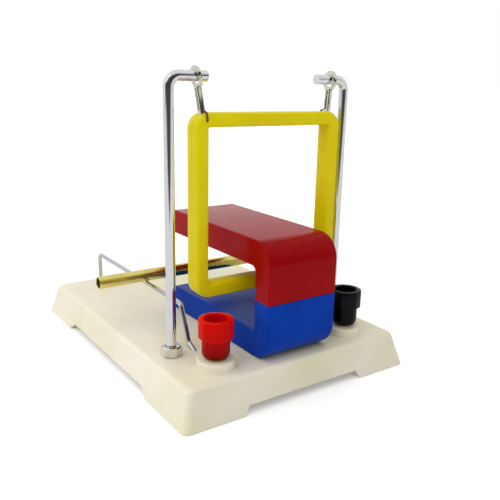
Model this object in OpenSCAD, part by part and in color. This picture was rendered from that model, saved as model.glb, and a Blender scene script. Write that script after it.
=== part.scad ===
// Electromagnetic induction apparatus for the classroom: a coil hung from two bent posts
// in the mouth of a U magnet, and a loose brass tube on two wire rails.
// Millimetres. Origin at the centre of the base's underside, +Z up, +Y to the back.

/* [Base] */
// Width of the base from left to right
base_width = 90; // [80:1:110]
// Depth of the base from front to back
base_depth = 120; // [106:1:150]
// Height of the base
base_height = 12; // [10.5:0.5:16]
// How far each side leans in over its height
base_draft = 3.3; // [1:0.1:3.5]
// Corner radius of the base at the bottom
base_corner = 6; // [5.5:0.5:10]
// Rounding of the top edge
base_top_round = 1.2; // [0.4:0.1:1.6]
// Thickness of the side walls
base_wall = 2.4; // [1.6:0.1:2.6]
// Thickness of the top plate
plate_thickness = 2.4; // [1.8:0.1:3]
// Height of the gaps between the corner feet
foot_height = 2.8; // [1:0.1:4]
// Length of a corner foot along the front
foot_length_x = 21.5; // [14:0.5:30]
// Length of a corner foot along the side
foot_length_y = 25.5; // [14:0.5:40]
// Slope of a foot's end along the front
foot_slope_x = 1.4; // [0:0.1:4]
// Slope of a foot's end along the side
foot_slope_y = 3.5; // [0:0.1:5]

/* [Posts] */
// Height of the top of the arms above the table
arm_top = 100; // [92:0.5:115]
// Diameter of the post rod
post_d = 3.2; // [2.5:0.1:4]
// Distance from the base's side edge to a post
post_inset = 11; // [9:0.5:16]
// Distance from the base's front edge to the posts
post_from_front = 28; // [24:0.5:34]
// Bend radius of the post at the middle of the rod
post_bend = 3.5; // [2.5:0.1:5]
// Length of arm past the lug on the left
arm_past_lug = 3.4; // [1.5:0.1:6]
// Width of the post nuts across their flats
post_nut_width = 6.2; // [5.5:0.1:8]
// Height of the post nuts
post_nut_height = 3; // [2:0.1:3.6]
// Turn of the post nuts on the base
top_nut_turn = 30; // [0:1:59]

/* [Terminals] */
// Distance from the base's side edge to a terminal
terminal_inset = 18.4; // [15:0.1:22]
// Distance from the base's front edge to the terminals
terminal_from_front = 13; // [11:0.5:16]
// Diameter of the boss under a terminal
boss_d = 12; // [9:0.2:13]
// Height of the boss above the base
boss_height = 3; // [1:0.1:3.5]
// Rounding of the boss's top edge
boss_round = 0.6; // [0.2:0.1:0.9]
// Diameter of the terminal stud
stud_d = 4; // [3:0.1:5]
// Diameter of the stud's flange
flange_d = 6.4; // [5.8:0.1:8.6]
// Thickness of the stud's flange
flange_thickness = 0.4; // [0.3:0.1:1.2]
// Diameter of the knob's body
knob_d = 8.8; // [8:0.1:11]
// Height of the knob
knob_height = 12.6; // [10:0.1:16]
// Diameter over the corners of the knob's grip
grip_d = 11.2; // [10:0.1:14]
// Height of the grip, from the top of the knob down
grip_height = 6; // [4:0.1:8]
// Number of flats round the grip
grip_sides = 12; // [8:1:16]
// Turn of the red knob as it stands
red_turn = 13; // [0:1:30]
// Turn of the black knob as it stands
black_turn = 1; // [0:1:30]
// Height of the taper at the bottom of the knob
knob_taper = 1.7; // [0.5:0.1:3]
// Bevel round the knob's top
knob_bevel = 0.5; // [0.2:0.1:0.7]
// Diameter of the recess in the knob's top
recess_d = 7.4; // [5.6:0.1:7.8]
// Depth of the recess in the knob's top
recess_depth = 3; // [0.4:0.1:4]
// Wall of the brass bush in the knob
bush_wall = 0.8; // [0.5:0.1:1]
// Width of the terminal nuts across their flats
terminal_nut_width = 7; // [6:0.1:8]
// Height of the terminal nuts
terminal_nut_height = 3.2; // [2:0.1:3.6]
// Thickness of the washers under the base
washer_thickness = 0.5; // [0.3:0.1:0.8]
// Width of a washer from its hole to its rim
washer_rim = 1.8; // [1.2:0.1:2.2]
// Thickness of the brass links under the base
link_thickness = 0.8; // [0.5:0.1:1]
// Width of metal round a hole in a link
link_rim = 1.6; // [1:0.1:2.2]
// Width of a link between its holes
link_width = 3.8; // [2:0.1:5]

/* [Rails and tube] */
// Diameter of the rail wire
rail_d = 1.6; // [1.2:0.1:2.4]
// Distance from the base's side edge to a rail
rail_inset = 19; // [16:0.1:22]
// Distance from a terminal back to the foot of the rail's riser
riser_from_terminal = 18; // [14:0.5:24]
// Gap from the base to the wire at the foot of the riser
knee_lift = 0.45; // [0.1:0.05:1]
// Length of the rail's flat end under the link
rail_tail = 2.2; // [1.5:0.1:4]
// How far the riser leans back
riser_lean = 5.3; // [0:0.1:8]
// Bend radius of the rail at the middle of the wire
rail_bend = 2; // [1.4:0.1:3]
// Distance from the base's back edge to the rail's back leg
rail_from_back = 12.1; // [10:0.1:20]
// Depth of the rail's leg in its socket
socket_depth = 4.6; // [3:0.1:6]
// Wall of the socket under the base
socket_wall = 1.6; // [1:0.1:2.5]
// Height of the tube's underside above the magnet's lower leg
tube_lift = 5.4; // [2:0.1:9]
// Outside diameter of the brass tube
tube_d = 4.4; // [3:0.1:6]
// Wall of the brass tube
tube_wall = 0.4; // [0.3:0.05:0.8]
// Length of the brass tube
tube_length = 89; // [66:0.5:96]
// Distance from the rails' back legs to the tube as it lies
tube_from_back = 45.7; // [10:0.1:60]

/* [Coil] */
// Width of one side of the case, seen from the front
coil_side = 4.4; // [3.6:0.1:5]
// Depth of the case from front to back
coil_depth = 6.6; // [5:0.1:8]
// Inner corner radius of the case
coil_inner_round = 0.6; // [0.2:0.1:1]
// Rounding along the edges of the case
coil_edge_round = 1; // [0.3:0.1:1.4]
// Wall of the case
coil_wall = 0.8; // [0.6:0.05:0.9]
// Drop from the middle of the arms to the top of the case
coil_hang = 10.4; // [8:0.1:14]
// Height of the case's lower bar above the magnet's lower leg
coil_lift = 9.3; // [5:0.1:12]
// Gap from the case to each post when it hangs in the middle
coil_side_gap = 4.1; // [3:0.1:6]
// How far the coil hangs to the right of the middle
coil_shift = 1.9; // [0:0.1:2.5]
// Diameter of the lead wires
lead_d = 0.6; // [0.3:0.05:0.8]
// Drop from the top of the case to the hole for a lead
lead_drop = 2.6; // [2.2:0.1:3.2]
// Gap from a lead to the face of the case
lead_standoff = 0.2; // [0.1:0.05:0.6]
// Height above the case at which a lead meets its lug
lead_rise = 0.8; // [0.6:0.1:2]
// Slant of the leads
lead_slant = 10; // [0:1:20]
// Distance from the middle of a lug to its lead, towards the post
lead_shift = 0.4; // [0:0.05:0.4]

/* [Lugs] */
// Play of a lug's eye on the arm
lug_play = 0.8; // [0.4:0.05:1.6]
// Width of metal round the eye
lug_band = 1.3; // [0.8:0.05:2]
// Thickness of the lug's sheet
lug_sheet = 0.5; // [0.3:0.05:0.6]
// Width of the folded tail
tail_width = 1.9; // [1.4:0.05:2.2]
// Depth of the folded tail
tail_depth = 1.6; // [1.2:0.05:2]
// Distance from the side of the case to a lug's foot
lug_inset = 3.4; // [3.2:0.1:6]
// Lean of the left lug towards its post
left_lean = 10; // [0:0.5:10]
// Lean of the right lug towards its post
right_lean = 4.5; // [0:0.5:10]
// Width of the foot inside the case beyond the tail, on each side
foot_rim = 0.5; // [0.3:0.05:0.7]

/* [Magnet] */
// Length of the magnet from its bend to its tips
magnet_length = 62.3; // [52:0.1:75]
// Height of the magnet
magnet_height = 38.4; // [36:0.2:44]
// Width of the magnet
magnet_width = 26.8; // [18:0.2:28]
// Thickness of a leg
magnet_leg = 8.6; // [8.4:0.1:10]
// Thickness of the closed end
magnet_web = 8.2; // [7:0.1:12]
// Outer radius of the bends
magnet_bend = 8; // [7:0.1:12]
// Corner radius at the end of the mouth
mouth_round = 2; // [0.6:0.1:4]
// Corner radius at the tips of the legs
tip_round = 1; // [0.3:0.1:2]
// Distance from the base's front edge to the magnet
magnet_from_front = 4.9; // [1:0.1:6]
// How far the magnet lies to the right of the middle
magnet_shift = 0.8; // [0:0.1:2]
// Wall of the magnet's case
magnet_wall = 1.6; // [1:0.1:1.8]
// Thickness of the steel yoke
yoke_thickness = 2.4; // [1.5:0.1:2.6]
// Length of a pole block
block_length = 28; // [15:0.5:32]

/* [Clearances] */
// Gap between a piece and the seat it turns, slides or rolls on
seat_gap = 0.05; // [0.03:0.01:0.1]
// Radial gap between a knob's bush and its stud
thread_gap = 0.05; // [0.02:0.01:0.08]
// Radial gap round fixed rods in their holes
hole_gap = 0.1; // [0.05:0.01:0.2]
// Gap round pieces packed inside a case
fit_gap = 0.05; // [0.02:0.01:0.1]

/* [Hidden] */
$fn = 64;
overcut = 1;
bead_gap = 0.02;
bead_growth = 0.02;
left = -1;
right = 1;
sides = [left, right];

cream = "#e6dfcd";
chrome = "#c3c7ca";
plated = "#b9b8a8";
brass = "#c9a227";
yellow = "#d2c413";
enamel = "#7a3b1c";
copper = "#b5652f";
red = "#b3202a";
blue = "#1546a0";
knob_red = "#c8170f";
black = "#18181a";
steel = "#7d8184";
ferrite = "#3a3a3e";

// Rows and heights that the pieces share
front_edge = -base_depth / 2;
back_edge = base_depth / 2;
plate_under = base_height - plate_thickness;
post_y = front_edge + post_from_front;
post_x = base_width / 2 - post_inset;
arm_z = arm_top - post_d / 2;
terminal_y = front_edge + terminal_from_front;
terminal_x = base_width / 2 - terminal_inset;
rail_x = base_width / 2 - rail_inset;
rail_r = rail_d / 2;

// Stack of a terminal, and what hangs under the plate
boss_top = base_height + boss_height;
flange_top = boss_top + flange_thickness;
knob_z = flange_top + seat_gap;
knob_floor = knob_height - recess_depth;
bush_d = stud_d + 2 * thread_gap + 2 * bush_wall;
bush_seat = 1;
bush_length = knob_floor - 2 * bush_seat;
bush_top = bush_seat + bush_length;
knob_foot_wall = 0.5;
knob_foot_d = bush_d + 2 * knob_foot_wall;
stud_sink = 0.5;
stud_top = knob_z + bush_top - stud_sink;
end_chamfer = 0.3;
thread_stub = 0.6;
link_z = plate_under - link_thickness;
washer_z = link_z - washer_thickness;

// Magnet, lying on the base with its mouth to the back
magnet_front = front_edge + magnet_from_front;
magnet_z = base_height + seat_gap;
mouth_height = magnet_height - 2 * magnet_leg;
split_height = magnet_height / 2;
yoke_inset = magnet_wall + fit_gap;
yoke_reach = magnet_length - yoke_inset;
yoke_width = magnet_width - 2 * yoke_inset;
block_foot = yoke_inset + yoke_thickness + fit_gap;
block_thickness = magnet_leg - yoke_inset - block_foot;
block_start = yoke_reach - block_length;

// Rails, and the tube that lies on them
rail_top = magnet_z + magnet_leg + tube_lift - seat_gap;
rail_z = rail_top - rail_r;
rail_knee = [terminal_y + riser_from_terminal, base_height + rail_r + knee_lift];
rail_tip = [terminal_y + stud_d / 2 + hole_gap + washer_rim + seat_gap, link_z - rail_r - seat_gap];
rail_dive = rail_tip + [rail_tail, 0];
rail_back_y = back_edge - rail_from_back;
socket_floor = base_height - socket_depth;
tube_y = rail_back_y - tube_from_back;
tube_z = rail_top + seat_gap + tube_d / 2;

// Coil, hung in the mouth of the magnet
coil_width = 2 * (post_x - post_d / 2 - coil_side_gap);
coil_top = arm_z - coil_hang;
coil_bottom = magnet_z + magnet_leg + coil_lift;
coil_height = coil_top - coil_bottom;
coil_middle = (coil_top + coil_bottom) / 2;
coil_half = coil_depth / 2;

// Layers inside the case, measured outwards from its inner face: winding, then the lugs' feet
lug_foot_outer = coil_side - coil_wall - fit_gap;
lug_foot_inner = lug_foot_outer - lug_sheet;
winding_inner = coil_wall + fit_gap;
winding_outer = lug_foot_inner - 2 * fit_gap;
winding_depth = coil_depth - 2 * (coil_wall + fit_gap);

// Lugs between the case and the arms
eye_hole_d = post_d + lug_play;
eye_d = eye_hole_d + 2 * lug_band;
lug_foot_x = coil_width / 2 - lug_inset;
left_eye_x = lug_foot_x + eye_height(left_lean) * tan(left_lean);
arm_tip_x = left_eye_x - coil_shift - arm_past_lug;
tail_sink = coil_wall + fit_gap + lug_sheet;

// Height of the middle of a leaning lug's eye above the case, and its distance along the lug
function eye_height(lean) = coil_hang + post_d / 2 + seat_gap
    - eye_hole_d / 2 * cos(lean) + lug_sheet / 2 * sin(lean);
function eye_rise(lean) = eye_height(lean) / cos(lean);

// Angle of the line from one point of a run to the next
function heading(from, to) = atan2(to[1] - from[1], to[0] - from[0]);

// Turn of a run at one of its inner points, brought between -180 and 180 degrees
function raw_turn(run, i) = heading(run[i], run[i + 1]) - heading(run[i - 1], run[i]);
function turn_at(run, i) = raw_turn(run, i) > 180 ? raw_turn(run, i) - 360
    : raw_turn(run, i) < -180 ? raw_turn(run, i) + 360
    : raw_turn(run, i);

// Length that the bend at a point takes from each straight beside it
function bend_room(run, i, bend) = i == 0 || i == len(run) - 1 ? 0
    : bend * tan(abs(turn_at(run, i)) / 2);

// Round rod along a flat run of points, with a true bend at each inner point.
// A straight stops just short of a bend, and a bead hardly thicker than the rod joins the two.
module bent_rod(run, diameter, bend) {
    last = len(run) - 1;
    for (i = [0 : last - 1]) {
        start = bend_room(run, i, bend);
        stop = norm(run[i + 1] - run[i]) - bend_room(run, i + 1, bend);
        inner_start = i == 0 ? start : start + bead_gap;
        inner_stop = i + 1 == last ? stop : stop - bead_gap;
        translate(run[i])
            rotate([0, 90, heading(run[i], run[i + 1])]) {
                translate([0, 0, inner_start])
                    cylinder(d = diameter, h = inner_stop - inner_start);
                if (i > 0)
                    translate([0, 0, start])
                        sphere(d = diameter + bead_growth);
                if (i + 1 < last)
                    translate([0, 0, stop])
                        sphere(d = diameter + bead_growth);
            }
    }
    for (i = [1 : last - 1]) {
        turn = turn_at(run, i);
        hand = sign(turn);
        translate(run[i])
            rotate(heading(run[i - 1], run[i]))
                translate([-bend_room(run, i, bend), hand * bend, 0])
                    rotate(hand > 0 ? -90 : 90 + turn)
                        rotate_extrude(angle = abs(turn))
                            translate([bend, 0])
                                circle(d = diameter);
    }
}

// Sweeps a flat section round a rectangle with round corners; its x runs outwards, its y up
module round_the_edge(reach_x, reach_y, corner) {
    for (quarter = [0 : 3]) {
        out = quarter % 2 == 0 ? reach_x : reach_y;
        along = quarter % 2 == 0 ? reach_y : reach_x;
        rotate(90 * quarter) {
            translate([out + corner, 0, 0])
                rotate([90, 0, 0])
                    linear_extrude(height = 2 * along, center = true)
                        children();
            translate([out, along, 0])
                rotate_extrude(angle = 90)
                    translate([corner, 0])
                        children();
        }
    }
}

// Rectangle with one radius at its four corners
module soft_bar(length, height, corner) {
    translate([corner, 0])
        square([length - 2 * corner, height]);
    translate([0, corner])
        square([length, height - 2 * corner]);
    for (x = [corner, length - corner], y = [corner, height - corner])
        translate([x, y])
            circle(r = corner);
}

// Stands a flat drawing of Y and Z up, facing the right
module in_side_plane() {
    rotate([90, 0, 90])
        children();
}

// Stands a flat drawing of X and Z up, facing the front
module in_front_plane() {
    rotate([90, 0, 0])
        children();
}

// Mirrors a piece of the right-hand side to the left
module to_left() {
    mirror([1, 0, 0])
        children();
}

// Hexagon nut with chamfered corners, standing on its face
module hex_nut(width, height, hole_d) {
    corner_r = width / 2 / cos(30);
    chamfer = (corner_r - width / 2) * tan(30);
    difference() {
        intersection() {
            cylinder(r = corner_r, h = height, $fn = 6);
            rotate_extrude()
                polygon([
                    [0, 0], [width / 2, 0], [corner_r, chamfer],
                    [corner_r, height - chamfer], [width / 2, height], [0, height]
                ]);
        }
        translate([0, 0, -overcut])
            cylinder(d = hole_d, h = height + 2 * overcut);
    }
}

// Flat ring or tube, standing on its face
module ring(outer_d, inner_d, height) {
    difference() {
        cylinder(d = outer_d, h = height);
        translate([0, 0, -overcut])
            cylinder(d = inner_d, h = height + 2 * overcut);
    }
}

// Edge of the base from the axis of its corner outwards: a leaning side under a rounded rim
module base_edge(lean) {
    slant = atan(lean);
    rim_z = base_height - base_top_round;
    rim_x = base_corner - lean * rim_z - base_top_round / cos(slant);
    polygon([
        [0, 0], [base_corner, 0],
        [rim_x + base_top_round * cos(slant), rim_z + base_top_round * sin(slant)],
        [rim_x, base_height], [0, base_height]
    ]);
    translate([rim_x, rim_z])
        circle(r = base_top_round);
}

// Edge of the hollow under the base
module hollow_edge(lean) {
    corner = base_corner - base_wall;
    polygon([
        [0, -overcut], [corner + lean * overcut, -overcut],
        [corner - lean * plate_under, plate_under], [0, plate_under]
    ]);
}

// Gap between two feet, under the wall
module foot_gap(length, slope) {
    half = length / 2;
    polygon([
        [-half, -overcut], [-half, 0], [slope - half, foot_height],
        [half - slope, foot_height], [half, 0], [half, -overcut]
    ]);
}

// Boss under a terminal, with a rounded rim
module terminal_boss() {
    rotate_extrude() {
        square([boss_d / 2, boss_height - boss_round]);
        square([boss_d / 2 - boss_round, boss_height]);
        translate([boss_d / 2 - boss_round, boss_height - boss_round])
            circle(r = boss_round);
    }
}

// Hollow plate of the base on its four feet
module base_plate() {
    lean = base_draft / base_height;
    core_x = base_width / 2 - base_corner;
    core_y = base_depth / 2 - base_corner;
    difference() {
        union() {
            translate([-core_x, -core_y, 0])
                cube([2 * core_x, 2 * core_y, base_height]);
            round_the_edge(core_x, core_y, 0)
                base_edge(lean);
        }
        translate([-core_x, -core_y, -overcut])
            cube([2 * core_x, 2 * core_y, plate_under + overcut]);
        round_the_edge(core_x, core_y, 0)
            hollow_edge(lean);
        in_front_plane()
            linear_extrude(height = base_depth + 2 * overcut, center = true)
                foot_gap(base_width - 2 * foot_length_x, foot_slope_x);
        in_side_plane()
            linear_extrude(height = base_width + 2 * overcut, center = true)
                foot_gap(base_depth - 2 * foot_length_y, foot_slope_y);
    }
}

module base() {
    rail_hole_d = rail_d + 2 * hole_gap;
    color(cream)
        difference() {
            union() {
                base_plate();
                for (x = sides) {
                    translate([x * terminal_x, terminal_y, base_height])
                        terminal_boss();
                    translate([x * rail_x, rail_back_y, socket_floor - socket_wall])
                        cylinder(d = rail_d + 2 * socket_wall, h = plate_under - socket_floor + socket_wall);
                }
            }
            for (x = sides) {
                translate([x * post_x, post_y, plate_under - overcut])
                    cylinder(d = post_d + 2 * hole_gap, h = plate_thickness + 2 * overcut);
                translate([x * terminal_x, terminal_y, plate_under - overcut])
                    cylinder(d = stud_d + 2 * hole_gap, h = boss_top - plate_under + 2 * overcut);
                translate([x * rail_x, rail_back_y, socket_floor])
                    cylinder(d = rail_hole_d, h = socket_depth + overcut);
                translate([x * rail_x, 0, 0])
                    in_side_plane()
                        translate(rail_knee)
                            rotate([0, 90, heading(rail_knee, rail_dive)])
                                cylinder(d = rail_hole_d, h = norm(rail_dive - rail_knee));
            }
        }
}

// Post rod from its thread under the base, up and over to the tip of its arm
module post() {
    foot_z = washer_z - post_nut_height - thread_stub;
    color(chrome)
        translate([0, post_y, 0])
            in_front_plane()
                bent_rod([[post_x, foot_z], [post_x, arm_z], [arm_tip_x, arm_z]], post_d, post_bend);
}

module post_left() {
    to_left()
        post();
}

module post_right() {
    post();
}

module post_top_nuts() {
    color(chrome)
        for (x = sides)
            translate([x * post_x, post_y, base_height])
                rotate(top_nut_turn)
                    hex_nut(post_nut_width, post_nut_height, post_d + 2 * fit_gap);
}

module post_bottom_nuts() {
    color(chrome)
        for (x = sides)
            translate([x * post_x, post_y, washer_z - post_nut_height])
                hex_nut(post_nut_width, post_nut_height, post_d + 2 * fit_gap);
}

module post_washers() {
    hole_d = post_d + 2 * hole_gap;
    color(chrome)
        for (x = sides)
            translate([x * post_x, post_y, washer_z])
                ring(hole_d + 2 * washer_rim, hole_d, washer_thickness);
}

// Threaded stud with a flange that seats on its boss
module terminal_stud() {
    stud_r = stud_d / 2;
    flange_r = flange_d / 2;
    foot_z = washer_z - terminal_nut_height - thread_stub;
    color(brass)
        translate([terminal_x, terminal_y, 0])
            rotate_extrude()
                polygon([
                    [0, foot_z], [stud_r - end_chamfer, foot_z], [stud_r, foot_z + end_chamfer],
                    [stud_r, boss_top], [flange_r, boss_top], [flange_r, flange_top], [stud_r, flange_top],
                    [stud_r, stud_top - end_chamfer], [stud_r - end_chamfer, stud_top], [0, stud_top]
                ]);
}

module terminal_stud_left() {
    to_left()
        terminal_stud();
}

module terminal_stud_right() {
    terminal_stud();
}

module terminal_nuts() {
    color(chrome)
        for (x = sides)
            translate([x * terminal_x, terminal_y, washer_z - terminal_nut_height])
                hex_nut(terminal_nut_width, terminal_nut_height, stud_d + 2 * fit_gap);
}

module terminal_washers() {
    hole_d = stud_d + 2 * hole_gap;
    color(chrome)
        for (x = sides)
            translate([x * terminal_x, terminal_y, washer_z])
                ring(hole_d + 2 * washer_rim, hole_d, washer_thickness);
}

// Brass strip under the base, from the terminal to its post
module link() {
    stud_hole_d = stud_d + 2 * hole_gap;
    post_hole_d = post_d + 2 * hole_gap;
    reach = [post_x - terminal_x, post_y - terminal_y];
    color(brass)
        translate([terminal_x, terminal_y, link_z])
            rotate(atan2(reach[1], reach[0]))
                linear_extrude(height = link_thickness)
                    difference() {
                        union() {
                            circle(d = stud_hole_d + 2 * link_rim);
                            translate([norm(reach), 0])
                                circle(d = post_hole_d + 2 * link_rim);
                            translate([0, -link_width / 2])
                                square([norm(reach), link_width]);
                        }
                        circle(d = stud_hole_d);
                        translate([norm(reach), 0])
                            circle(d = post_hole_d);
                    }
}

module link_left() {
    to_left()
        link();
}

module link_right() {
    link();
}

// Wire rail from its end under the terminal, up through the plate, along and down into its socket
module rail() {
    run = [
        rail_tip, rail_dive, rail_knee, [rail_knee[0] + riser_lean, rail_z],
        [rail_back_y, rail_z], [rail_back_y, socket_floor + seat_gap]
    ];
    color(chrome)
        translate([rail_x, 0, 0])
            in_side_plane()
                bent_rod(run, rail_d, rail_bend);
}

module rail_left() {
    to_left()
        rail();
}

module rail_right() {
    rail();
}

module brass_tube() {
    color(brass)
        translate([-tube_length / 2, tube_y, tube_z])
            rotate([0, 90, 0])
                ring(tube_d, tube_d - 2 * tube_wall, tube_length);
}

// Knob with a tapered foot, a grip of many flats and a hollow top, bored for its bush
module knob() {
    knob_r = knob_d / 2;
    grip_r = grip_d / 2;
    difference() {
        union() {
            rotate_extrude()
                polygon([
                    [0, 0], [knob_foot_d / 2, 0], [knob_r, knob_taper], [knob_r, knob_floor], [0, knob_floor]
                ]);
            translate([0, 0, knob_height - grip_height])
                intersection() {
                    cylinder(r = grip_r, h = grip_height, $fn = grip_sides);
                    rotate_extrude()
                        polygon([
                            [0, 0], [grip_r + overcut, 0], [grip_r + overcut, grip_height - knob_bevel - overcut],
                            [grip_r - knob_bevel, grip_height], [0, grip_height]
                        ]);
                }
        }
        translate([0, 0, knob_floor])
            cylinder(d = recess_d, h = recess_depth + overcut);
        translate([0, 0, -overcut])
            cylinder(d = bush_d, h = overcut + bush_top);
    }
}

// Threaded bush that sits in a knob
module knob_bush() {
    translate([0, 0, bush_seat])
        ring(bush_d, stud_d + 2 * thread_gap, bush_length);
}

// Sets a knob or its bush on the terminal of one side
module on_terminal(side) {
    translate([side * terminal_x, terminal_y, knob_z])
        children();
}

module red_knob() {
    color(knob_red)
        on_terminal(left)
            rotate(red_turn)
                knob();
}

module red_knob_insert() {
    color(brass)
        on_terminal(left)
            knob_bush();
}

module black_knob() {
    color(black)
        on_terminal(right)
            rotate(black_turn)
                knob();
}

module black_knob_insert() {
    color(brass)
        on_terminal(right)
            knob_bush();
}

// Sweeps a section round the coil: its x runs outwards from the inner face, its y to the front
module round_the_coil() {
    inset = coil_side + coil_inner_round;
    translate([coil_shift, post_y, coil_middle])
        in_front_plane()
            round_the_edge(coil_width / 2 - inset, coil_height / 2 - inset, coil_inner_round)
                children();
}

// Section of one shell: a channel with rounded edges, open at the seam in the coil's middle
module shell_section() {
    flat = coil_half - coil_edge_round;
    difference() {
        union() {
            square([coil_side, flat]);
            translate([coil_edge_round, 0])
                square([coil_side - 2 * coil_edge_round, coil_half]);
            for (x = [coil_edge_round, coil_side - coil_edge_round])
                translate([x, flat])
                    circle(r = coil_edge_round);
        }
        translate([coil_wall, -overcut])
            square([coil_side - 2 * coil_wall, coil_half - coil_wall + overcut]);
        translate([0, -coil_depth])
            square([coil_side, coil_depth]);
    }
}

// Turns a piece half round the coil's upright axis, to its other face
module to_back() {
    translate([2 * coil_shift, 2 * post_y, 0])
        rotate(180)
            children();
}

// Moves to the point of the case's top that one lug stands on, leaning with it
module at_lug(side) {
    translate([coil_shift + side * lug_foot_x, post_y, coil_top])
        rotate([0, side == left ? -left_lean : right_lean, 0])
            children();
}

// Moves to the top of the left lead, slanting with it
module at_lead() {
    translate([coil_shift - lug_foot_x - lead_shift, post_y, coil_top])
        rotate([0, -lead_slant, 0])
            children();
}

// Shell with a hole for a lead
module coil_shell() {
    difference() {
        round_the_coil()
            shell_section();
        at_lead()
            translate([0, -winding_depth / 2, -lead_drop])
                rotate([90, 0, 0])
                    cylinder(d = lead_d + 2 * fit_gap, h = coil_wall + overcut);
    }
}

// Ways through the case for the tails of the two lugs
module lug_ways() {
    way_x = tail_depth + 2 * fit_gap;
    way_y = tail_width + 2 * fit_gap;
    way_z = coil_side - coil_wall;
    for (side = sides)
        at_lug(side)
            translate([-way_x / 2, -way_y / 2, -way_z])
                cube([way_x, way_y, way_z + overcut]);
}

module coil_front_shell() {
    color(yellow)
        difference() {
            coil_shell();
            lug_ways();
        }
}

module coil_back_shell() {
    color(yellow)
        difference() {
            to_back()
                coil_shell();
            lug_ways();
        }
}

module coil_winding() {
    color(copper)
        round_the_coil()
            translate([winding_inner, -winding_depth / 2])
                square([winding_outer - winding_inner, winding_depth]);
}

// End of the winding: out of the face of the case, up, and over to its lug
module coil_lead() {
    lead_y = coil_half + lead_standoff + lead_d / 2;
    run = [
        [-winding_depth / 2 - fit_gap, -lead_drop], [-lead_y, -lead_drop],
        [-lead_y, 0], [-(tail_width + lead_d) / 2, lead_rise]
    ];
    color(enamel)
        at_lead()
            in_side_plane()
                bent_rod(run, lead_d, lead_d);
}

module coil_lead_left() {
    coil_lead();
}

module coil_lead_right() {
    to_back()
        coil_lead();
}

// Eye lug: a ring on the arm, a folded tail, and a foot that the case holds
module lug(side) {
    groove_x = tail_depth - lug_sheet;
    groove_y = tail_width - 2 * lug_sheet;
    foot_x = tail_depth + 2 * foot_rim;
    foot_y = tail_width + 2 * foot_rim;
    rise = eye_rise(side == left ? left_lean : right_lean);
    tail_top = rise - (eye_hole_d + lug_band) / 2;
    color(plated) {
        at_lug(side) {
            translate([-lug_sheet / 2, 0, rise])
                rotate([0, 90, 0])
                    ring(eye_d, eye_hole_d, lug_sheet);
            difference() {
                translate([-tail_depth / 2, -tail_width / 2, -tail_sink])
                    cube([tail_depth, tail_width, tail_sink + tail_top]);
                translate([-tail_depth / 2 - overcut, -groove_y / 2, lug_sheet])
                    cube([groove_x + overcut, groove_y, tail_top - 2 * lug_sheet]);
            }
        }
        intersection() {
            round_the_coil()
                translate([lug_foot_inner, -foot_y / 2])
                    square([lug_sheet, foot_y]);
            at_lug(side)
                translate([-foot_x / 2, -foot_y, -coil_side])
                    cube([foot_x, 2 * foot_y, coil_side]);
        }
    }
}

module lug_left() {
    lug(left);
}

module lug_right() {
    lug(right);
}

// Moves a flat drawing of the magnet to its place, with its closed end to the front
module in_magnet() {
    translate([magnet_shift, magnet_front, magnet_z])
        in_side_plane()
            children();
}

// Outline of the U magnet from the side
module magnet_outline() {
    leg_start = max(magnet_web, magnet_bend);
    difference() {
        intersection() {
            soft_bar(2 * magnet_length, magnet_height, magnet_bend);
            square([magnet_length - 2 * tip_round, magnet_height]);
        }
        translate([magnet_web, magnet_leg])
            soft_bar(2 * magnet_length, mouth_height, mouth_round);
    }
    for (y = [0, magnet_height - magnet_leg])
        translate([leg_start, y])
            soft_bar(magnet_length - leg_start, magnet_leg, tip_round);
}

// Outline of the yoke, or with some growth that of its space in the case
module yoke_outline(growth) {
    outer = yoke_inset - growth;
    inner = yoke_inset + yoke_thickness + growth;
    difference() {
        intersection() {
            translate([outer, outer])
                soft_bar(2 * magnet_length, magnet_height - 2 * outer, magnet_bend - outer);
            square([yoke_reach + growth, magnet_height]);
        }
        translate([inner, inner])
            soft_bar(2 * magnet_length, magnet_height - 2 * inner, magnet_bend - inner);
    }
}

// Outline of the block in the lower leg, or with some growth that of its space in the case
module block_outline(growth) {
    translate([block_start - growth, block_foot - growth])
        square([block_length + 2 * growth, block_thickness + 2 * growth]);
}

// Turns a drawing of the lower leg over to the upper one
module to_upper_leg() {
    translate([0, magnet_height])
        mirror([0, 1])
            children();
}

// Lower half of the case, hollow for the yoke and the block
module lower_shell() {
    difference() {
        linear_extrude(height = magnet_width, center = true)
            intersection() {
                magnet_outline();
                square([magnet_length, split_height]);
            }
        linear_extrude(height = yoke_width + 2 * fit_gap, center = true) {
            yoke_outline(fit_gap);
            block_outline(fit_gap);
        }
    }
}

module magnet_red_shell() {
    color(red)
        in_magnet()
            to_upper_leg()
                lower_shell();
}

module magnet_blue_shell() {
    color(blue)
        in_magnet()
            lower_shell();
}

module magnet_yoke() {
    color(steel)
        in_magnet()
            linear_extrude(height = yoke_width, center = true)
                yoke_outline(0);
}

module north_block() {
    color(ferrite)
        in_magnet()
            linear_extrude(height = yoke_width, center = true)
                to_upper_leg()
                    block_outline(0);
}

module south_block() {
    color(ferrite)
        in_magnet()
            linear_extrude(height = yoke_width, center = true)
                block_outline(0);
}

base();
post_left();
post_right();
post_top_nuts();
post_bottom_nuts();
post_washers();
terminal_stud_left();
terminal_stud_right();
terminal_nuts();
terminal_washers();
link_left();
link_right();
rail_left();
rail_right();
brass_tube();
red_knob();
red_knob_insert();
black_knob();
black_knob_insert();
coil_front_shell();
coil_back_shell();
coil_winding();
coil_lead_left();
coil_lead_right();
lug_left();
lug_right();
magnet_red_shell();
magnet_blue_shell();
magnet_yoke();
north_block();
south_block();
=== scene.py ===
"""Dresses the electromagnetic induction apparatus: a hanging coil, a U magnet, rails and a brass tube.

Sizes are in millimetres, as on the bench, and each mesh is brought to metres once, when it is finished.
"""

import logging
import math
from abc import ABC, abstractmethod
from collections.abc import Callable, Sequence
from dataclasses import dataclass, field
from enum import Enum
from functools import cache

import bmesh
import bpy
from mathutils import Matrix, Vector


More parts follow.
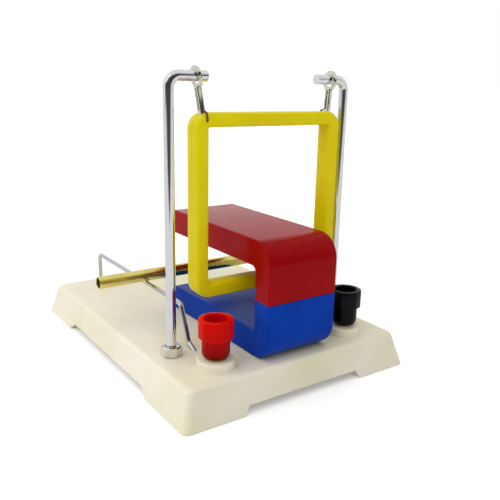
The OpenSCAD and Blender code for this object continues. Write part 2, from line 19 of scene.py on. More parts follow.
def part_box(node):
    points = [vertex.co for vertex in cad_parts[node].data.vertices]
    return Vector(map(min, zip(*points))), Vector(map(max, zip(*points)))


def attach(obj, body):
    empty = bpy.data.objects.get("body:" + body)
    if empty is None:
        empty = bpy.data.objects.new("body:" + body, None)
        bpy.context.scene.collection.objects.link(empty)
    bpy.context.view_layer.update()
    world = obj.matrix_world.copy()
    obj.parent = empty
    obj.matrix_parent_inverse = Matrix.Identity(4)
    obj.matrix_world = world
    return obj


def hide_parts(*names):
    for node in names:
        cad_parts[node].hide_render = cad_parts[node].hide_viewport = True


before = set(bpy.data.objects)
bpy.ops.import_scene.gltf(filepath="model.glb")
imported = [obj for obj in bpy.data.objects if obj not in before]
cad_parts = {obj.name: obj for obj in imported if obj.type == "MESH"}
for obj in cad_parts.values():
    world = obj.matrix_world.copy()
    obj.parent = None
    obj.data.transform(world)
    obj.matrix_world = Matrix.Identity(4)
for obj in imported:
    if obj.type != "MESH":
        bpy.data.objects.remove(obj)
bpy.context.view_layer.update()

MM = 0.001
TURN = 2.0 * math.pi
QUARTER = math.pi / 2.0
MERGE = 2e-4
ANGLE_DIGITS = 9
FLAT_DEG = 1.0
SHARP_DEG = 38.0

DISPLAY_FULL = 255.0
DISPLAY_KNEE = 0.04045
DISPLAY_SLOPE = 12.92
DISPLAY_LIFT = 0.055
DISPLAY_POWER = 2.4

# The colour sockets of a Mix node by place, since its other kinds have the same names.
MIX_SHARE, MIX_FIRST, MIX_SECOND, MIX_RESULT = 0, 6, 7, 2

# Where each pattern starts to show, and where it is full.
FULL = (0.0, 1.0)
CLOUD = (0.36, 0.68)
HAZE = (0.38, 0.66)
STREAK = (0.67, 0.73)
POINTED = (0.52, 0.62)
BROKEN = (0.35, 0.6)
SPOT = (0.5, 0.72)
LINE = (0.35, 0.75)
PATCHY = (0.3, 0.7)
SOAKED = (0.4, 0.8)
SPECK = (0.16, 0.05)

HAZE_FINER = 3.7
STREAK_TURNS = ((0.4, 0.7, 0.9), (1.2, -0.5, 2.3))
STREAK_STRETCH = (1.0, 28.0, 9.0)
GLOW_RADII = (1.0, 0.8, 0.5)
WHITE = (1.0, 1.0, 1.0, 1.0)

log = logging.getLogger("apparatus")

Rgba = tuple[float, float, float, float]
Flat = tuple[float, float]
Ring = Callable[[float], Flat]
Inputs = dict[str | int, object]
Node = bpy.types.Node
Socket = bpy.types.NodeSocket
Tree = bpy.types.NodeTree
Material = bpy.types.Material
Mesh = bpy.types.Mesh
Piece = bpy.types.Object
Draft = bmesh.types.BMesh


class TreeKind(Enum):
    """Kinds of node group."""

    SHADER = "ShaderNodeTree"
    SHAPE = "GeometryNodeTree"


class SocketKind(Enum):
    """Kinds of socket that the groups use."""

    VALUE = "NodeSocketFloat"
    COUNT = "NodeSocketInt"
    COLOUR = "NodeSocketColor"
    VECTOR = "NodeSocketVector"
    SHAPE = "NodeSocketGeometry"
    FINISH = "NodeSocketMaterial"
    PIECE = "NodeSocketObject"


SOCKET_KINDS = {
    "Bend Steps": SocketKind.COUNT, "Corner Steps": SocketKind.COUNT, "Sides": SocketKind.COUNT,
    "Colour": SocketKind.COLOUR, "Shade": SocketKind.COLOUR, "Stain": SocketKind.COLOUR,
    "Vector": SocketKind.VECTOR, "Lines": SocketKind.VECTOR, "Middle": SocketKind.VECTOR,
    "Geometry": SocketKind.SHAPE, "Finish": SocketKind.FINISH, "Fastener": SocketKind.PIECE,
}


class Side(Enum):
    """The two sides of the apparatus, by the sign of X."""

    LEFT = -1
    RIGHT = 1

    @property
    def word(self) -> str:
        """Gives the side's name as it stands in node names."""
        return self.name.lower()


def paint(red: int, green: int, blue: int) -> Rgba:
    """Turns a colour as the eye reads it into the linear values of a shader.

    Args:
        red: from 0 to 255, as are the other two.
        green: the green share.
        blue: the blue share.

    Returns:
        The linear colour, with full alpha.
    """
    def linear(share: int) -> float:
        """Undoes the display curve for one share.

        Args:
            share: from 0 to 255.

        Returns:
            The linear share, from 0 to 1.
        """
        value = share / DISPLAY_FULL
        if value <= DISPLAY_KNEE:
            return value / DISPLAY_SLOPE
        return ((value + DISPLAY_LIFT) / (1.0 + DISPLAY_LIFT)) ** DISPLAY_POWER

    return linear(red), linear(green), linear(blue), 1.0


def per_metre(size: float) -> float:
    """Gives the texture scale at which a pattern repeats about every size millimetres."""
    return 1.0 / (size * MM)


def box_mm(node: str) -> tuple[Vector, Vector]:
    """Gives a CAD node's lowest and highest corners in millimetres."""
    low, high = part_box(node)
    return low / MM, high / MM


def upward(height: float) -> Vector:
    """Gives the way straight up by a height."""
    return Vector((0.0, 0.0, height))


class Wiring:
    """Adds nodes to one tree and joins their sockets."""

    def __init__(self, tree: Tree) -> None:
        """Keeps the tree that the nodes go into."""
        self.tree = tree

    def feed(self, node: Node, inputs: Inputs) -> None:
        """Links an output to each input, or sets the input's own value.

        Args:
            node: the node that is fed.
            inputs: a value or an output socket for each input, by name or place.
        """
        for key, value in inputs.items():
            if isinstance(value, Socket):
                self.tree.links.new(value, node.inputs[key])
            else:
                node.inputs[key].default_value = value

    def add(self, kind: str, inputs: Inputs | None = None, **settings: object) -> Node:
        """Adds a node.

        Args:
            kind: the node type's name.
            inputs: a value or an output socket for each input, by name or place.
            settings: the node's own properties.

        Returns:
            The new node.
        """
        node = self.tree.nodes.new(kind)
        for key, value in settings.items():
            setattr(node, key, value)
        self.feed(node, inputs or {})
        return node

    def out(self, kind: str, inputs: Inputs | None = None, **settings: object) -> Socket:
        """Adds a node and gives its first output."""
        return self.add(kind, inputs, **settings).outputs[0]

    def noise(self, vector: Socket, scale: object, detail: float = 2.0) -> Socket:
        """Adds a noise texture and gives its value."""
        return self.out("ShaderNodeTexNoise", {"Vector": vector, "Scale": scale, "Detail": detail})

    def spread(self, value: Socket, span: Flat, low: object = 0.0, high: object = 1.0) -> Socket:
        """Maps a value from a span to low and high, held at both ends."""
        limits = {"Value": value, "From Min": span[0], "From Max": span[1], "To Min": low, "To Max": high}
        return self.out("ShaderNodeMapRange", limits)

    def maths(self, operation: str, first: object, second: object) -> Socket:
        """Adds a Math node for one operation on two values."""
        return self.out("ShaderNodeMath", {0: first, 1: second}, operation=operation)

    def vector(self, operation: str, first: object, second: object) -> Node:
        """Adds a Vector Math node for one operation on two vectors."""
        return self.add("ShaderNodeVectorMath", {0: first, 1: second}, operation=operation)

    def tint(self, share: object, first: object, second: object) -> Socket:
        """Mixes two colours by a share."""
        colours = {MIX_SHARE: share, MIX_FIRST: first, MIX_SECOND: second}
        return self.add("ShaderNodeMix", colours, data_type="RGBA").outputs[MIX_RESULT]


class Group(Wiring):
    """A node group with named sockets, while it is being wired."""

    def __init__(self, name: str, kind: TreeKind, inputs: Sequence[str], outputs: Sequence[str]) -> None:
        """Starts the group.

        Args:
            name: the group's name.
            kind: a shader group or a geometry tree.
            inputs: the labels of its inputs.
            outputs: the labels of its outputs.
        """
        super().__init__(bpy.data.node_groups.new(name, kind.value))
        for way, labels in (("INPUT", inputs), ("OUTPUT", outputs)):
            for label in labels:
                socket = SOCKET_KINDS.get(label, SocketKind.VALUE)
                self.tree.interface.new_socket(label, in_out=way, socket_type=socket.value)
        self.given = self.add("NodeGroupInput").outputs
        self.result = self.add("NodeGroupOutput")

    def close(self, values: Inputs) -> Tree:
        """Feeds the group's outputs and gives the finished group."""
        self.feed(self.result, values)
        return self.tree

    def fillet(self, curve: Socket, steps: str, radius: str) -> Socket:
        """Rounds a curve's corners, as the two named inputs say."""
        corners = {"Count": self.given[steps], "Radius": self.given[radius], "Limit Radius": True}
        return self.out("GeometryNodeFilletCurve", {"Curve": curve, **corners}, mode="POLY")

    def close_shape(self, shape: Socket) -> Tree:
        """Ends a geometry tree: what it drew is made real and takes its finish.

        Args:
            shape: what the tree drew.

        Returns:
            The finished tree.
        """
        real = self.out("GeometryNodeRealizeInstances", {"Geometry": shape})
        dressed = self.out("GeometryNodeSetMaterial", {"Geometry": real, "Material": self.given["Finish"]})
        return self.close({"Geometry": dressed})


@cache
def moulded_skin() -> Tree:
    """Builds the group for moulded plastic: cloudy colour, uneven gloss and a fine grain.

    Returns:
        The shader group.
    """
    group = Group("moulded_skin", TreeKind.SHADER, (
        "Vector", "Colour", "Shade", "Patch Scale", "Grain Scale", "Roughness", "Dull Roughness",
    ), ("Colour", "Roughness", "Height"))
    given = group.given
    cloud = group.noise(given["Vector"], given["Patch Scale"], detail=3.0)
    haze_scale = group.maths("MULTIPLY", given["Patch Scale"], HAZE_FINER)
    haze = group.noise(given["Vector"], haze_scale, detail=4.0)
    return group.close({
        "Colour": group.tint(group.spread(cloud, CLOUD), given["Colour"], given["Shade"]),
        "Roughness": group.spread(haze, HAZE, given["Roughness"], given["Dull Roughness"]),
        "Height": group.noise(given["Vector"], given["Grain Scale"]),
    })


@cache
def fine_scratches() -> Tree:
    """Builds the group for the hairline scratches of handling, in two crossing directions.

    Returns:
        The shader group.
    """
    group = Group("fine_scratches", TreeKind.SHADER, ("Vector", "Scale", "Amount"), ("Mask",))
    given = group.given
    lines = []
    for turn in STREAK_TURNS:
        way = {"Vector": given["Vector"], "Rotation": turn, "Scale": STREAK_STRETCH}
        streak = group.noise(group.out("ShaderNodeMapping", way), given["Scale"], detail=1.0)
        lines.append(group.spread(streak, STREAK))
    either = group.maths("MAXIMUM", *lines)
    return group.close({"Mask": group.maths("MULTIPLY", either, given["Amount"])})


@cache
def rubbed_edges() -> Tree:
    """Builds the group for edges that handling has rubbed, lightened also by a painted highlight: a mask that
    breaks up along them.

    Returns:
        The shader group.
    """
    group = Group("rubbed_edges", TreeKind.SHADER, ("Vector", "Scale", "Amount"), ("Mask",))
    given = group.given
    shape = group.add("ShaderNodeNewGeometry")
    edge = group.spread(shape.outputs["Pointiness"], POINTED)
    broken = group.spread(group.noise(given["Vector"], given["Scale"], detail=4.0), BROKEN)
    worn_and_highlit = group.maths("MULTIPLY", edge, broken)
    return group.close({"Mask": group.maths("MULTIPLY", worn_and_highlit, given["Amount"])})


@cache
def drawn_lines() -> Tree:
    """Builds the group for drawn or turned metal: fine lines in its gloss and height, and dull spots.

    Returns:
        The shader group.
    """
    group = Group("drawn_lines", TreeKind.SHADER, (
        "Lines", "Vector", "Spot Scale", "Colour", "Stain", "Stain Amount", "Roughness", "Dull Roughness",
    ), ("Colour", "Roughness", "Height"))
    given = group.given
    line = group.noise(given["Lines"], 1.0, detail=3.0)
    spot = group.spread(group.noise(given["Vector"], given["Spot Scale"], detail=5.0), SPOT)
    dull = group.maths("MULTIPLY", spot, given["Stain Amount"])
    uneven = group.maths("MAXIMUM", group.spread(line, LINE), dull)
    return group.close({
        "Colour": group.tint(dull, given["Colour"], given["Stain"]),
        "Roughness": group.spread(uneven, FULL, given["Roughness"], given["Dull Roughness"]),
        "Height": line,
    })


class Lay(Enum):
    """How the fine lines of a metal run, as the squeeze of its Object coordinates along X, Y and Z."""

    ALONG_ROD = None
    ROUND_X = (5000.0, 300.0, 300.0)
    ROUND_Z = (300.0, 300.0, 5000.0)
    ROLLED = (400.0, 6000.0, 400.0)


@dataclass(frozen=True)
class Finish(ABC):
    """A surface finish: the record's material slot it belongs to, and how its material is made."""

    name: str
    slot: str

    def material(self) -> Material:
        """Gives the finish's material, made the first time it is asked for."""
        return bpy.data.materials.get(self.name) or self.make()

    def start(self) -> tuple[Material, Wiring, Node, Socket]:
        """Starts a node material.

        Returns:
            The material, its wiring, its Principled shader and its Object coordinates.
        """
        made = bpy.data.materials.new(self.name)
        made.use_nodes = True
        wiring = Wiring(made.node_tree)
        shader = made.node_tree.nodes["Principled BSDF"]
        place = wiring.add("ShaderNodeTexCoord").outputs["Object"]
        return made, wiring, shader, place

    @staticmethod
    def raised(wiring: Wiring, height: Socket, depth: float, strength: float) -> Socket:
        """Gives the normal of a surface raised by a depth in millimetres, by how much of it shows."""
        grain = {"Height": height, "Distance": depth * MM, "Strength": strength}
        return wiring.out("ShaderNodeBump", grain)

    @abstractmethod
    def make(self) -> Material:
        """Makes the material.

        Returns:
            The new material.
        """


@dataclass(frozen=True)
class MouldedPlastic(Finish):
    """Glossy moulded plastic with cloudy colour, a fine grain, hairline scratches, and edges lightened by
    wear and a painted highlight.
    """

    colour: Rgba
    shade: Rgba
    # The colour the edges lighten to: partly wear, partly a painted highlight.
    rubbed: Rgba
    roughness: float = 0.14
    dull: float = 0.22
    shine: float = 0.12
    patch: float = 16.0
    grain: float = 0.5
    grain_depth: float = 0.006
    grain_strength: float = 0.5
    scratch: float = 7.0
    scratches: float = 0.06
    wear: float = 1.5
    rub: float = 0.12
    depth_glow: float = 0.0
    glow_reach: float = 1.5
    # deep is a painted shade: the colour low on the moulding, fading out between the two heights below.
    deep: Rgba | None = None
    deep_from: float = 0.0
    deep_to: float = 0.0

    def make(self) -> Material:
        """Makes the plastic from the shared skin, the scratches, and edges lightened by wear and a painted
        highlight, with a painted shade low down where one is given.

        Returns:
            The new material.
        """
        made, wiring, shader, place = self.start()
        skin = wiring.add("ShaderNodeGroup", {
            "Vector": place, "Colour": self.colour, "Shade": self.shade, "Patch Scale": per_metre(self.patch),
            "Grain Scale": per_metre(self.grain), "Roughness": self.roughness, "Dull Roughness": self.dull,
        }, node_tree=moulded_skin()).outputs
        marks, edges = (
            wiring.out("ShaderNodeGroup", {
                "Vector": place, "Scale": per_metre(size), "Amount": amount,
            }, node_tree=tree)
            for tree, size, amount in (
                (fine_scratches(), self.scratch, self.scratches), (rubbed_edges(), self.wear, self.rub),
            )
        )
        colour = skin["Colour"]
        # Painted shade: the colour darkens towards the bottom of the moulding, below the upper height.
        if self.deep:
            height = wiring.add("ShaderNodeSeparateXYZ", {"Vector": place}).outputs["Z"]
            unshaded_share = wiring.spread(height, (self.deep_from * MM, self.deep_to * MM))
            colour = wiring.tint(unshaded_share, self.deep, colour)
        wiring.feed(shader, {
            # Edges lighten by wear and by a painted highlight.
            "Base Color": wiring.tint(edges, colour, self.rubbed),
            "Roughness": wiring.maths("ADD", skin["Roughness"], marks),
            "Specular IOR Level": self.shine,
            "Subsurface Weight": self.depth_glow,
            "Subsurface Radius": GLOW_RADII,
            "Subsurface Scale": self.glow_reach * MM,
            "Normal": self.raised(wiring, skin["Height"], self.grain_depth, self.grain_strength),
        })
        return made


@dataclass(frozen=True)
class WorkedMetal(Finish):
    """Drawn, turned or rolled metal, with lines along its lay and a little tarnish."""

    colour: Rgba
    stain: Rgba
    lay: Lay
    roughness: float = 0.1
    dull: float = 0.22
    spot: float = 3.0
    stains: float = 0.3
    line_depth: float = 0.004
    line_strength: float = 0.6
    lines_around: float = 46.0
    lines_along: float = 0.06
    thread_pitch: float = 0.0
    thread_depth: float = 0.3

    def lines(self, wiring: Wiring, place: Socket) -> Socket:
        """Gives the coordinates that the lines are drawn on.

        Args:
            wiring: the material's wiring.
            place: the Object coordinates.

        Returns:
            Coordinates that are long along the lines and short across them.
        """
        if self.lay is not Lay.ALONG_ROD:
            return wiring.out("ShaderNodeMapping", {"Vector": place, "Scale": self.lay.value})
        unrolled = {}
        for axis, name, scale in (("X", "around", self.lines_around), ("Y", "along", self.lines_along)):
            spot = wiring.add("ShaderNodeAttribute", attribute_name=name).outputs["Fac"]
            unrolled[axis] = wiring.maths("MULTIPLY", spot, scale)
        return wiring.out("ShaderNodeCombineXYZ", unrolled)

    def make(self) -> Material:
        """Makes the metal, with a screw thread in its height where it has a pitch.

        Returns:
            The new material.
        """
        made, wiring, shader, place = self.start()
        surface = wiring.add("ShaderNodeGroup", {
            "Lines": self.lines(wiring, place), "Vector": place, "Spot Scale": per_metre(self.spot),
            "Colour": self.colour, "Stain": self.stain, "Stain Amount": self.stains,
            "Roughness": self.roughness, "Dull Roughness": self.dull,
        }, node_tree=drawn_lines()).outputs
        height, depth = surface["Height"], self.line_depth
        if self.thread_pitch:
            thread = {"Vector": place, "Scale": per_metre(self.thread_pitch) / TURN}
            height = wiring.add(
                "ShaderNodeTexWave", thread, wave_type="BANDS", bands_direction="Z", wave_profile="TRI",
            ).outputs["Fac"]
            depth = self.thread_depth * self.thread_pitch
        wiring.feed(shader, {
            "Base Color": surface["Colour"], "Roughness": surface["Roughness"], "Metallic": 1.0,
            "Normal": self.raised(wiring, height, depth, self.line_strength),
        })
        return made


@dataclass(frozen=True)
class WoundWire(Finish):
    """A winding of varnished copper: rows of wire side by side, with a painted shade between them."""

    colour: Rgba
    # gap is the painted shade between the rows.
    gap: Rgba
    pitch: float = 0.28
    waver: float = 0.6
    metal: float = 0.7
    patch: float = 6.0
    roughness: float = 0.22
    dull: float = 0.4
    row_depth: float = 0.5
    row_strength: float = 0.7

    def make(self) -> Material:
        """Makes the rows as bands across the depth of the winding.

        Returns:
            The new material.
        """
        made, wiring, shader, place = self.start()
        bands = {"Vector": place, "Scale": per_metre(self.pitch) / TURN, "Distortion": self.waver}
        rows = wiring.add(
            "ShaderNodeTexWave", bands, wave_type="BANDS", bands_direction="Y", wave_profile="SIN",
        ).outputs["Fac"]
        cloud = wiring.noise(place, per_metre(self.patch), detail=3.0)
        # The rows darken to a painted shade between them.
        rows_with_shade = wiring.tint(rows, self.gap, self.colour)
        wiring.feed(shader, {
            "Base Color": wiring.tint(wiring.spread(cloud, SOAKED), rows_with_shade, self.gap),
            "Roughness": wiring.spread(cloud, PATCHY, self.roughness, self.dull),
            "Metallic": self.metal,
            "Normal": self.raised(wiring, rows, self.row_depth * self.pitch, self.row_strength),
        })
        return made


@dataclass(frozen=True)
class SinteredBlock(Finish):
    """Dark sintered ferrite: a matt grain with a few bright specks."""

    colour: Rgba
    speck: Rgba
    grain: float = 0.4
    grain_depth: float = 0.05
    grain_strength: float = 0.5
    patch: float = 4.0
    roughness: float = 0.6
    dull: float = 0.85

    def make(self) -> Material:
        """Makes the grain from cells and noise.

        Returns:
            The new material.
        """
        made, wiring, shader, place = self.start()
        cells = wiring.out("ShaderNodeTexVoronoi", {"Vector": place, "Scale": per_metre(self.grain)})
        cloud = wiring.noise(place, per_metre(self.patch), detail=5.0)
        wiring.feed(shader, {
            "Base Color": wiring.tint(wiring.spread(cells, SPECK), self.colour, self.speck),
            "Roughness": wiring.spread(cloud, PATCHY, self.roughness, self.dull),
            "Normal": self.raised(wiring, cells, self.grain_depth, self.grain_strength),
        })
        return made


# The third colour of each plastic is the one its edges lighten to: wear, and a painted highlight.
CREAM = MouldedPlastic(
    "cream_moulding", "cream_plastic", paint(239, 233, 214), paint(229, 224, 190), paint(242, 238, 224),
    roughness=0.3, dull=0.4, shine=0.3, patch=34.0, grain=0.8, grain_depth=0.01, depth_glow=0.12,
)
YELLOW = MouldedPlastic(
    "yellow_case", "yellow_plastic", paint(232, 216, 3), paint(226, 205, 3), paint(238, 224, 36),
    roughness=0.2, dull=0.28, patch=24.0, grain=0.9,
)
RED = MouldedPlastic(
    "red_magnet_case", "red_plastic", paint(157, 4, 10), paint(147, 3, 8), paint(175, 26, 32),
    shine=0.07, patch=14.0, grain=0.7,
)
BLUE = MouldedPlastic(
    "blue_magnet_case", "blue_plastic", paint(4, 62, 172), paint(4, 54, 158), paint(34, 86, 190),
    shine=0.04, patch=14.0, grain=0.7,
)
# The red knob's lower body is darkened with a painted shade.
RED_KNOB = MouldedPlastic(
    "red_knob_moulding", "red_knob_plastic", paint(204, 8, 3), paint(190, 6, 2), paint(222, 44, 34),
    shine=0.07, patch=5.0, grain=0.4, depth_glow=0.8, glow_reach=4.0,
    deep=paint(104, 1, 1), deep_from=15.4, deep_to=23.0,
)
BLACK_KNOB = MouldedPlastic(
    "black_knob_moulding", "black_plastic", paint(13, 13, 16), paint(9, 9, 12), paint(52, 52, 55),
    shine=0.11, patch=5.0, grain=0.4, rub=0.2,
)
CHROME = WorkedMetal(
    "chromed_rod_drawn", "chromed_rod", paint(232, 233, 234), paint(190, 188, 182), Lay.ALONG_ROD,
    roughness=0.06, dull=0.14, stains=0.2,
)
CHROME_WIRE = WorkedMetal(
    "chromed_wire_drawn", "chromed_rod", paint(206, 207, 208), paint(166, 164, 158), Lay.ALONG_ROD,
    roughness=0.08, dull=0.18, stains=0.3,
)
CHROME_NUT = WorkedMetal(
    "chromed_nut_turned", "chromed_rod", paint(228, 228, 222), paint(160, 156, 142), Lay.ROUND_Z,
    roughness=0.08, dull=0.18, stains=0.35,
)
ZINC = WorkedMetal(
    "zinc_plated_steel", "steel", paint(190, 192, 194), paint(140, 138, 126), Lay.ROUND_Z,
    roughness=0.28, dull=0.5, spot=1.6, stains=0.6,
)
YOKE_STEEL = WorkedMetal(
    "rolled_yoke_steel", "steel", paint(168, 170, 172), paint(110, 104, 96), Lay.ROLLED,
    roughness=0.32, dull=0.55, spot=5.0, stains=0.6,
)
BRASS = WorkedMetal(
    "brass_tube_drawn", "brass", paint(236, 222, 136), paint(172, 152, 62), Lay.ROUND_X,
    roughness=0.2, dull=0.3, spot=5.0, stains=0.4,
)
THREADED_BRASS = WorkedMetal(
    "brass_screw_thread", "brass", paint(210, 170, 80), paint(140, 102, 40), Lay.ROUND_Z,
    roughness=0.2, dull=0.36, stains=0.4, thread_pitch=0.7,
)
SHEET_BRASS = WorkedMetal(
    "brass_strip_rolled", "brass", paint(208, 168, 78), paint(142, 106, 44), Lay.ROLLED,
    roughness=0.24, dull=0.42, stains=0.5,
)
NICKEL = WorkedMetal(
    "nickel_lug_rolled", "plated_sheet", paint(225, 225, 210), paint(154, 152, 128), Lay.ROUND_Z,
    roughness=0.1, dull=0.22, spot=1.2, stains=0.45,
)
# A winding's second colour is the painted shade between its rows.
ENAMEL = WoundWire("enamelled_lead", "enamel", paint(132, 62, 34), paint(84, 32, 18), pitch=0.9, metal=0.3)
COPPER = WoundWire("copper_winding_rows", "copper", paint(198, 118, 66), paint(96, 46, 22))
FERRITE = SinteredBlock("sintered_ferrite", "ferrite", paint(62, 62, 66), paint(128, 128, 134))


def polygon_radius(angle: float, sides: int, across_flats: float) -> float:
    """Gives the radius of a regular polygon in one direction, where a corner lies at zero."""
    step = TURN / sides
    return across_flats / 2.0 / math.cos(angle % step - step / 2.0)


def arc(centre: Flat, radius: float, start: float, stop: float, steps: int) -> list[tuple[Flat, Flat]]:
    """Gives points round a circle with the direction from its centre.

    Args:
        centre: the circle's centre.
        radius: its radius.
        start: the first angle in degrees.
        stop: the last angle in degrees.
        steps: how many chords the arc has.

    Returns:
        Each point with its outward direction.
    """
    turns = [math.radians(start + (stop - start) * k / steps) for k in range(steps + 1)]
    return [
        ((centre[0] + radius * math.cos(a), centre[1] + radius * math.sin(a)), (math.cos(a), math.sin(a)))
        for a in turns
    ]


def bow(centre: Flat, radius: float, start: float, stop: float, steps: int) -> list[Flat]:
    """Gives an arc's points without their directions."""
    return [spot for spot, _ in arc(centre, radius, start, stop, steps)]


def full_turn(columns: int, extra: Sequence[float] = ()) -> list[float]:
    """Gives the angles of one turn: evenly spaced ones, and any that a corner needs."""
    even = [TURN * k / columns for k in range(columns)]
    return sorted(set(round(a % TURN, ANGLE_DIGITS) for a in [*even, *extra]))


def plain_rings(rows: Sequence[Flat]) -> list[Ring]:
    """Gives rings that each have one radius and one height all round."""
    return [lambda angle, spot=row: spot for row in rows]


def add_turned(mesh: Draft, rings: Sequence[Ring], angles: Sequence[float], centre: Vector) -> None:
    """Adds a closed turned shape, standing along Z.

    Args:
        mesh: the mesh that takes it.
        rings: its section as rings, once round; each gives a radius and a height for an angle.
        angles: the columns' angles, right round.
        centre: the place of its axis.
    """
    columns = []
    for angle in angles:
        out = Vector((math.cos(angle), math.sin(angle), 0.0))
        spots = [ring(angle) for ring in rings]
        columns.append([mesh.verts.new(centre + out * r + upward(z)) for r, z in spots])
    on_axis = [ring(0.0)[0] < MERGE for ring in rings]
    bands = [k for k in range(len(rings)) if not (on_axis[k - 1] and on_axis[k])]
    for here, there in zip(columns, columns[1:] + columns[:1]):
        for k in bands:
            mesh.faces.new((here[k - 1], there[k - 1], there[k], here[k]))


def add_lathed(mesh: Draft, rows: Sequence[Flat], columns: int, centre: Vector) -> None:
    """Adds a turned shape that is round at every row of its section."""
    add_turned(mesh, plain_rings(rows), full_turn(columns), centre)


def add_loft(mesh: Draft, rows: Sequence[Sequence[Vector]]) -> None:
    """Adds a closed shape through rows of points, with a face on the first and the last.

    Args:
        mesh: the mesh that takes it.
        rows: its rows, each a loop of as many points.
    """
    made = [[mesh.verts.new(point) for point in row] for row in rows]
    for low, high in zip(made, made[1:]):
        for k in range(len(low)):
            mesh.faces.new((low[k - 1], low[k], high[k], high[k - 1]))
    mesh.faces.new(made[0])
    mesh.faces.new(made[-1])


def finish_mesh(source: Draft, name: str, scale: float = MM) -> Mesh:
    """Closes, turns outwards, scales and shades a mesh that is done.

    Args:
        source: the mesh, which is freed.
        name: the finished mesh's name.
        scale: metres for each unit of the source.

    Returns:
        The mesh in metres.
    """
    bmesh.ops.remove_doubles(source, verts=source.verts, dist=MERGE * MM / scale)
    bmesh.ops.dissolve_degenerate(source, dist=MERGE * MM / scale, edges=source.edges)
    bmesh.ops.recalc_face_normals(source, faces=source.faces)
    bmesh.ops.scale(source, vec=(scale, scale, scale), verts=source.verts)
    made = bpy.data.meshes.new(name)
    source.to_mesh(made)
    source.free()
    made.polygons.foreach_set("use_smooth", [True] * len(made.polygons))
    made.set_sharp_from_angle(angle=math.radians(SHARP_DEG))
    return made


def hold(mesh: Mesh) -> Piece:
    """Puts a mesh on an object in the scene.

    Args:
        mesh: the mesh.

    Returns:
        The object, at the origin.
    """
    holder = bpy.data.objects.new(mesh.name, mesh)
    bpy.context.scene.collection.objects.link(holder)
    return holder


def evaluated_mesh(holder: Piece) -> Mesh:
    """Turns an object with its modifiers into a plain mesh.

    Args:
        holder: the object, which is removed.

    Returns:
        The plain mesh.
    """
    bpy.context.view_layer.update()
    state = bpy.context.evaluated_depsgraph_get()
    made = bpy.data.meshes.new_from_object(holder.evaluated_get(state), depsgraph=state)
    bpy.data.objects.remove(holder)
    return made


def grow(tree: Tree, mesh: Mesh, values: dict[str, object]) -> Mesh:
    """Runs a geometry tree on a mesh and scales what it makes to metres.

    Args:
        tree: the geometry tree.
        mesh: what the tree starts from, in millimetres.
        values: the tree's named inputs.

    Returns:
        The plain mesh.
    """
    holder = hold(mesh)
    modifier = holder.modifiers.new(tree.name, "NODES")
    modifier.node_group = tree
    for socket in tree.interface.items_tree:
        if socket.name in values:
            modifier[socket.identifier] = values[socket.name]
    made = bmesh.new()
    made.from_mesh(evaluated_mesh(holder))
    return finish_mesh(made, tree.name)


def place_piece(name: str, mesh: Mesh, finish: Finish, body: str, *nodes: str) -> Piece:
    """Puts a finished mesh in the scene in place of its CAD nodes.

    Args:
        name: the piece's name.
        mesh: its mesh, in metres and in place.
        finish: its finish.
        body: the CAD body that it moves with.
        nodes: the CAD nodes that it stands for.

    Returns:
        The piece.
    """
    mesh.name = name
    mesh.materials.clear()
    mesh.materials.append(finish.material())
    piece = hold(mesh)
    piece.name = name
    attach(piece, body)
    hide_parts(*nodes)
    return piece


def dress_node(node: str, finish: Finish) -> Piece:
    """Gives a CAD node, kept as it is, a better material.

    Args:
        node: the CAD node.
        finish: its finish.

    Returns:
        The node's object.
    """
    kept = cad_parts[node]
    for slot in kept.material_slots:
        slot.material = finish.material()
    return kept


def softened_copy(node: str, edge: float, steps: int = 2) -> Mesh:
    """Copies a CAD node's mesh and rounds its sharp edges.

    Args:
        node: the CAD node.
        edge: the width of the rounding in millimetres.
        steps: how many faces go round an edge.

    Returns:
        The rounded copy, in metres.
    """
    copy = bmesh.new()
    copy.from_mesh(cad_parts[node].data)
    bmesh.ops.remove_doubles(copy, verts=copy.verts, dist=MERGE * MM)
    bmesh.ops.dissolve_limit(copy, angle_limit=math.radians(FLAT_DEG), verts=copy.verts, edges=copy.edges)
    limit = math.radians(SHARP_DEG)
    sharp = [e for e in copy.edges if e.is_manifold and e.calc_face_angle() > limit]
    bmesh.ops.bevel(
        copy, geom=sharp, offset=edge * MM, offset_type="OFFSET", segments=steps, profile=0.5,
        affect="EDGES", clamp_overlap=True,
    )
    return finish_mesh(copy, node + "_soft", 1.0)


@cache
def rod_tree() -> Tree:
    """Builds the tree that draws a round rod along a run of points, with its bends.

    Returns:
        The geometry tree.
    """
    group = Group("rod_along_a_run", TreeKind.SHAPE, (
        "Geometry", "Radius", "Bend", "Bend Steps", "Sides", "Finish",
    ), ("Geometry",))
    given = group.given
    run = group.out("GeometryNodeMeshToCurve", {"Mesh": given["Geometry"]})
    bent = group.fillet(run, "Bend Steps", "Bend")
    girth = group.out("GeometryNodeInputNamedAttribute", {"Name": "girth"}, data_type="FLOAT")
    sized = group.out("GeometryNodeSetCurveRadius", {"Curve": bent, "Radius": girth})
    circle = {"Resolution": given["Sides"], "Radius": given["Radius"]}
    section = group.out("GeometryNodeCurvePrimitiveCircle", circle, mode="RADIUS")
    measure = group.add("GeometryNodeSplineParameter").outputs
    marked = {}
    for label, curve, value in (("along", sized, measure["Length"]), ("around", section, measure["Factor"])):
        keep = group.add("GeometryNodeCaptureAttribute", domain="POINT")
        keep.capture_items.new("FLOAT", label)
        group.feed(keep, {"Geometry": curve, label: value})
        marked[label] = keep
    shape = group.out("GeometryNodeCurveToMesh", {
        "Curve": marked["along"].outputs["Geometry"], "Profile Curve": marked["around"].outputs["Geometry"],
        "Fill Caps": True,
    })
    for label, keep in marked.items():
        mark = {"Geometry": shape, "Name": label, "Value": keep.outputs[label]}
        shape = group.out("GeometryNodeStoreNamedAttribute", mark, data_type="FLOAT", domain="POINT")
    return group.close_shape(shape)


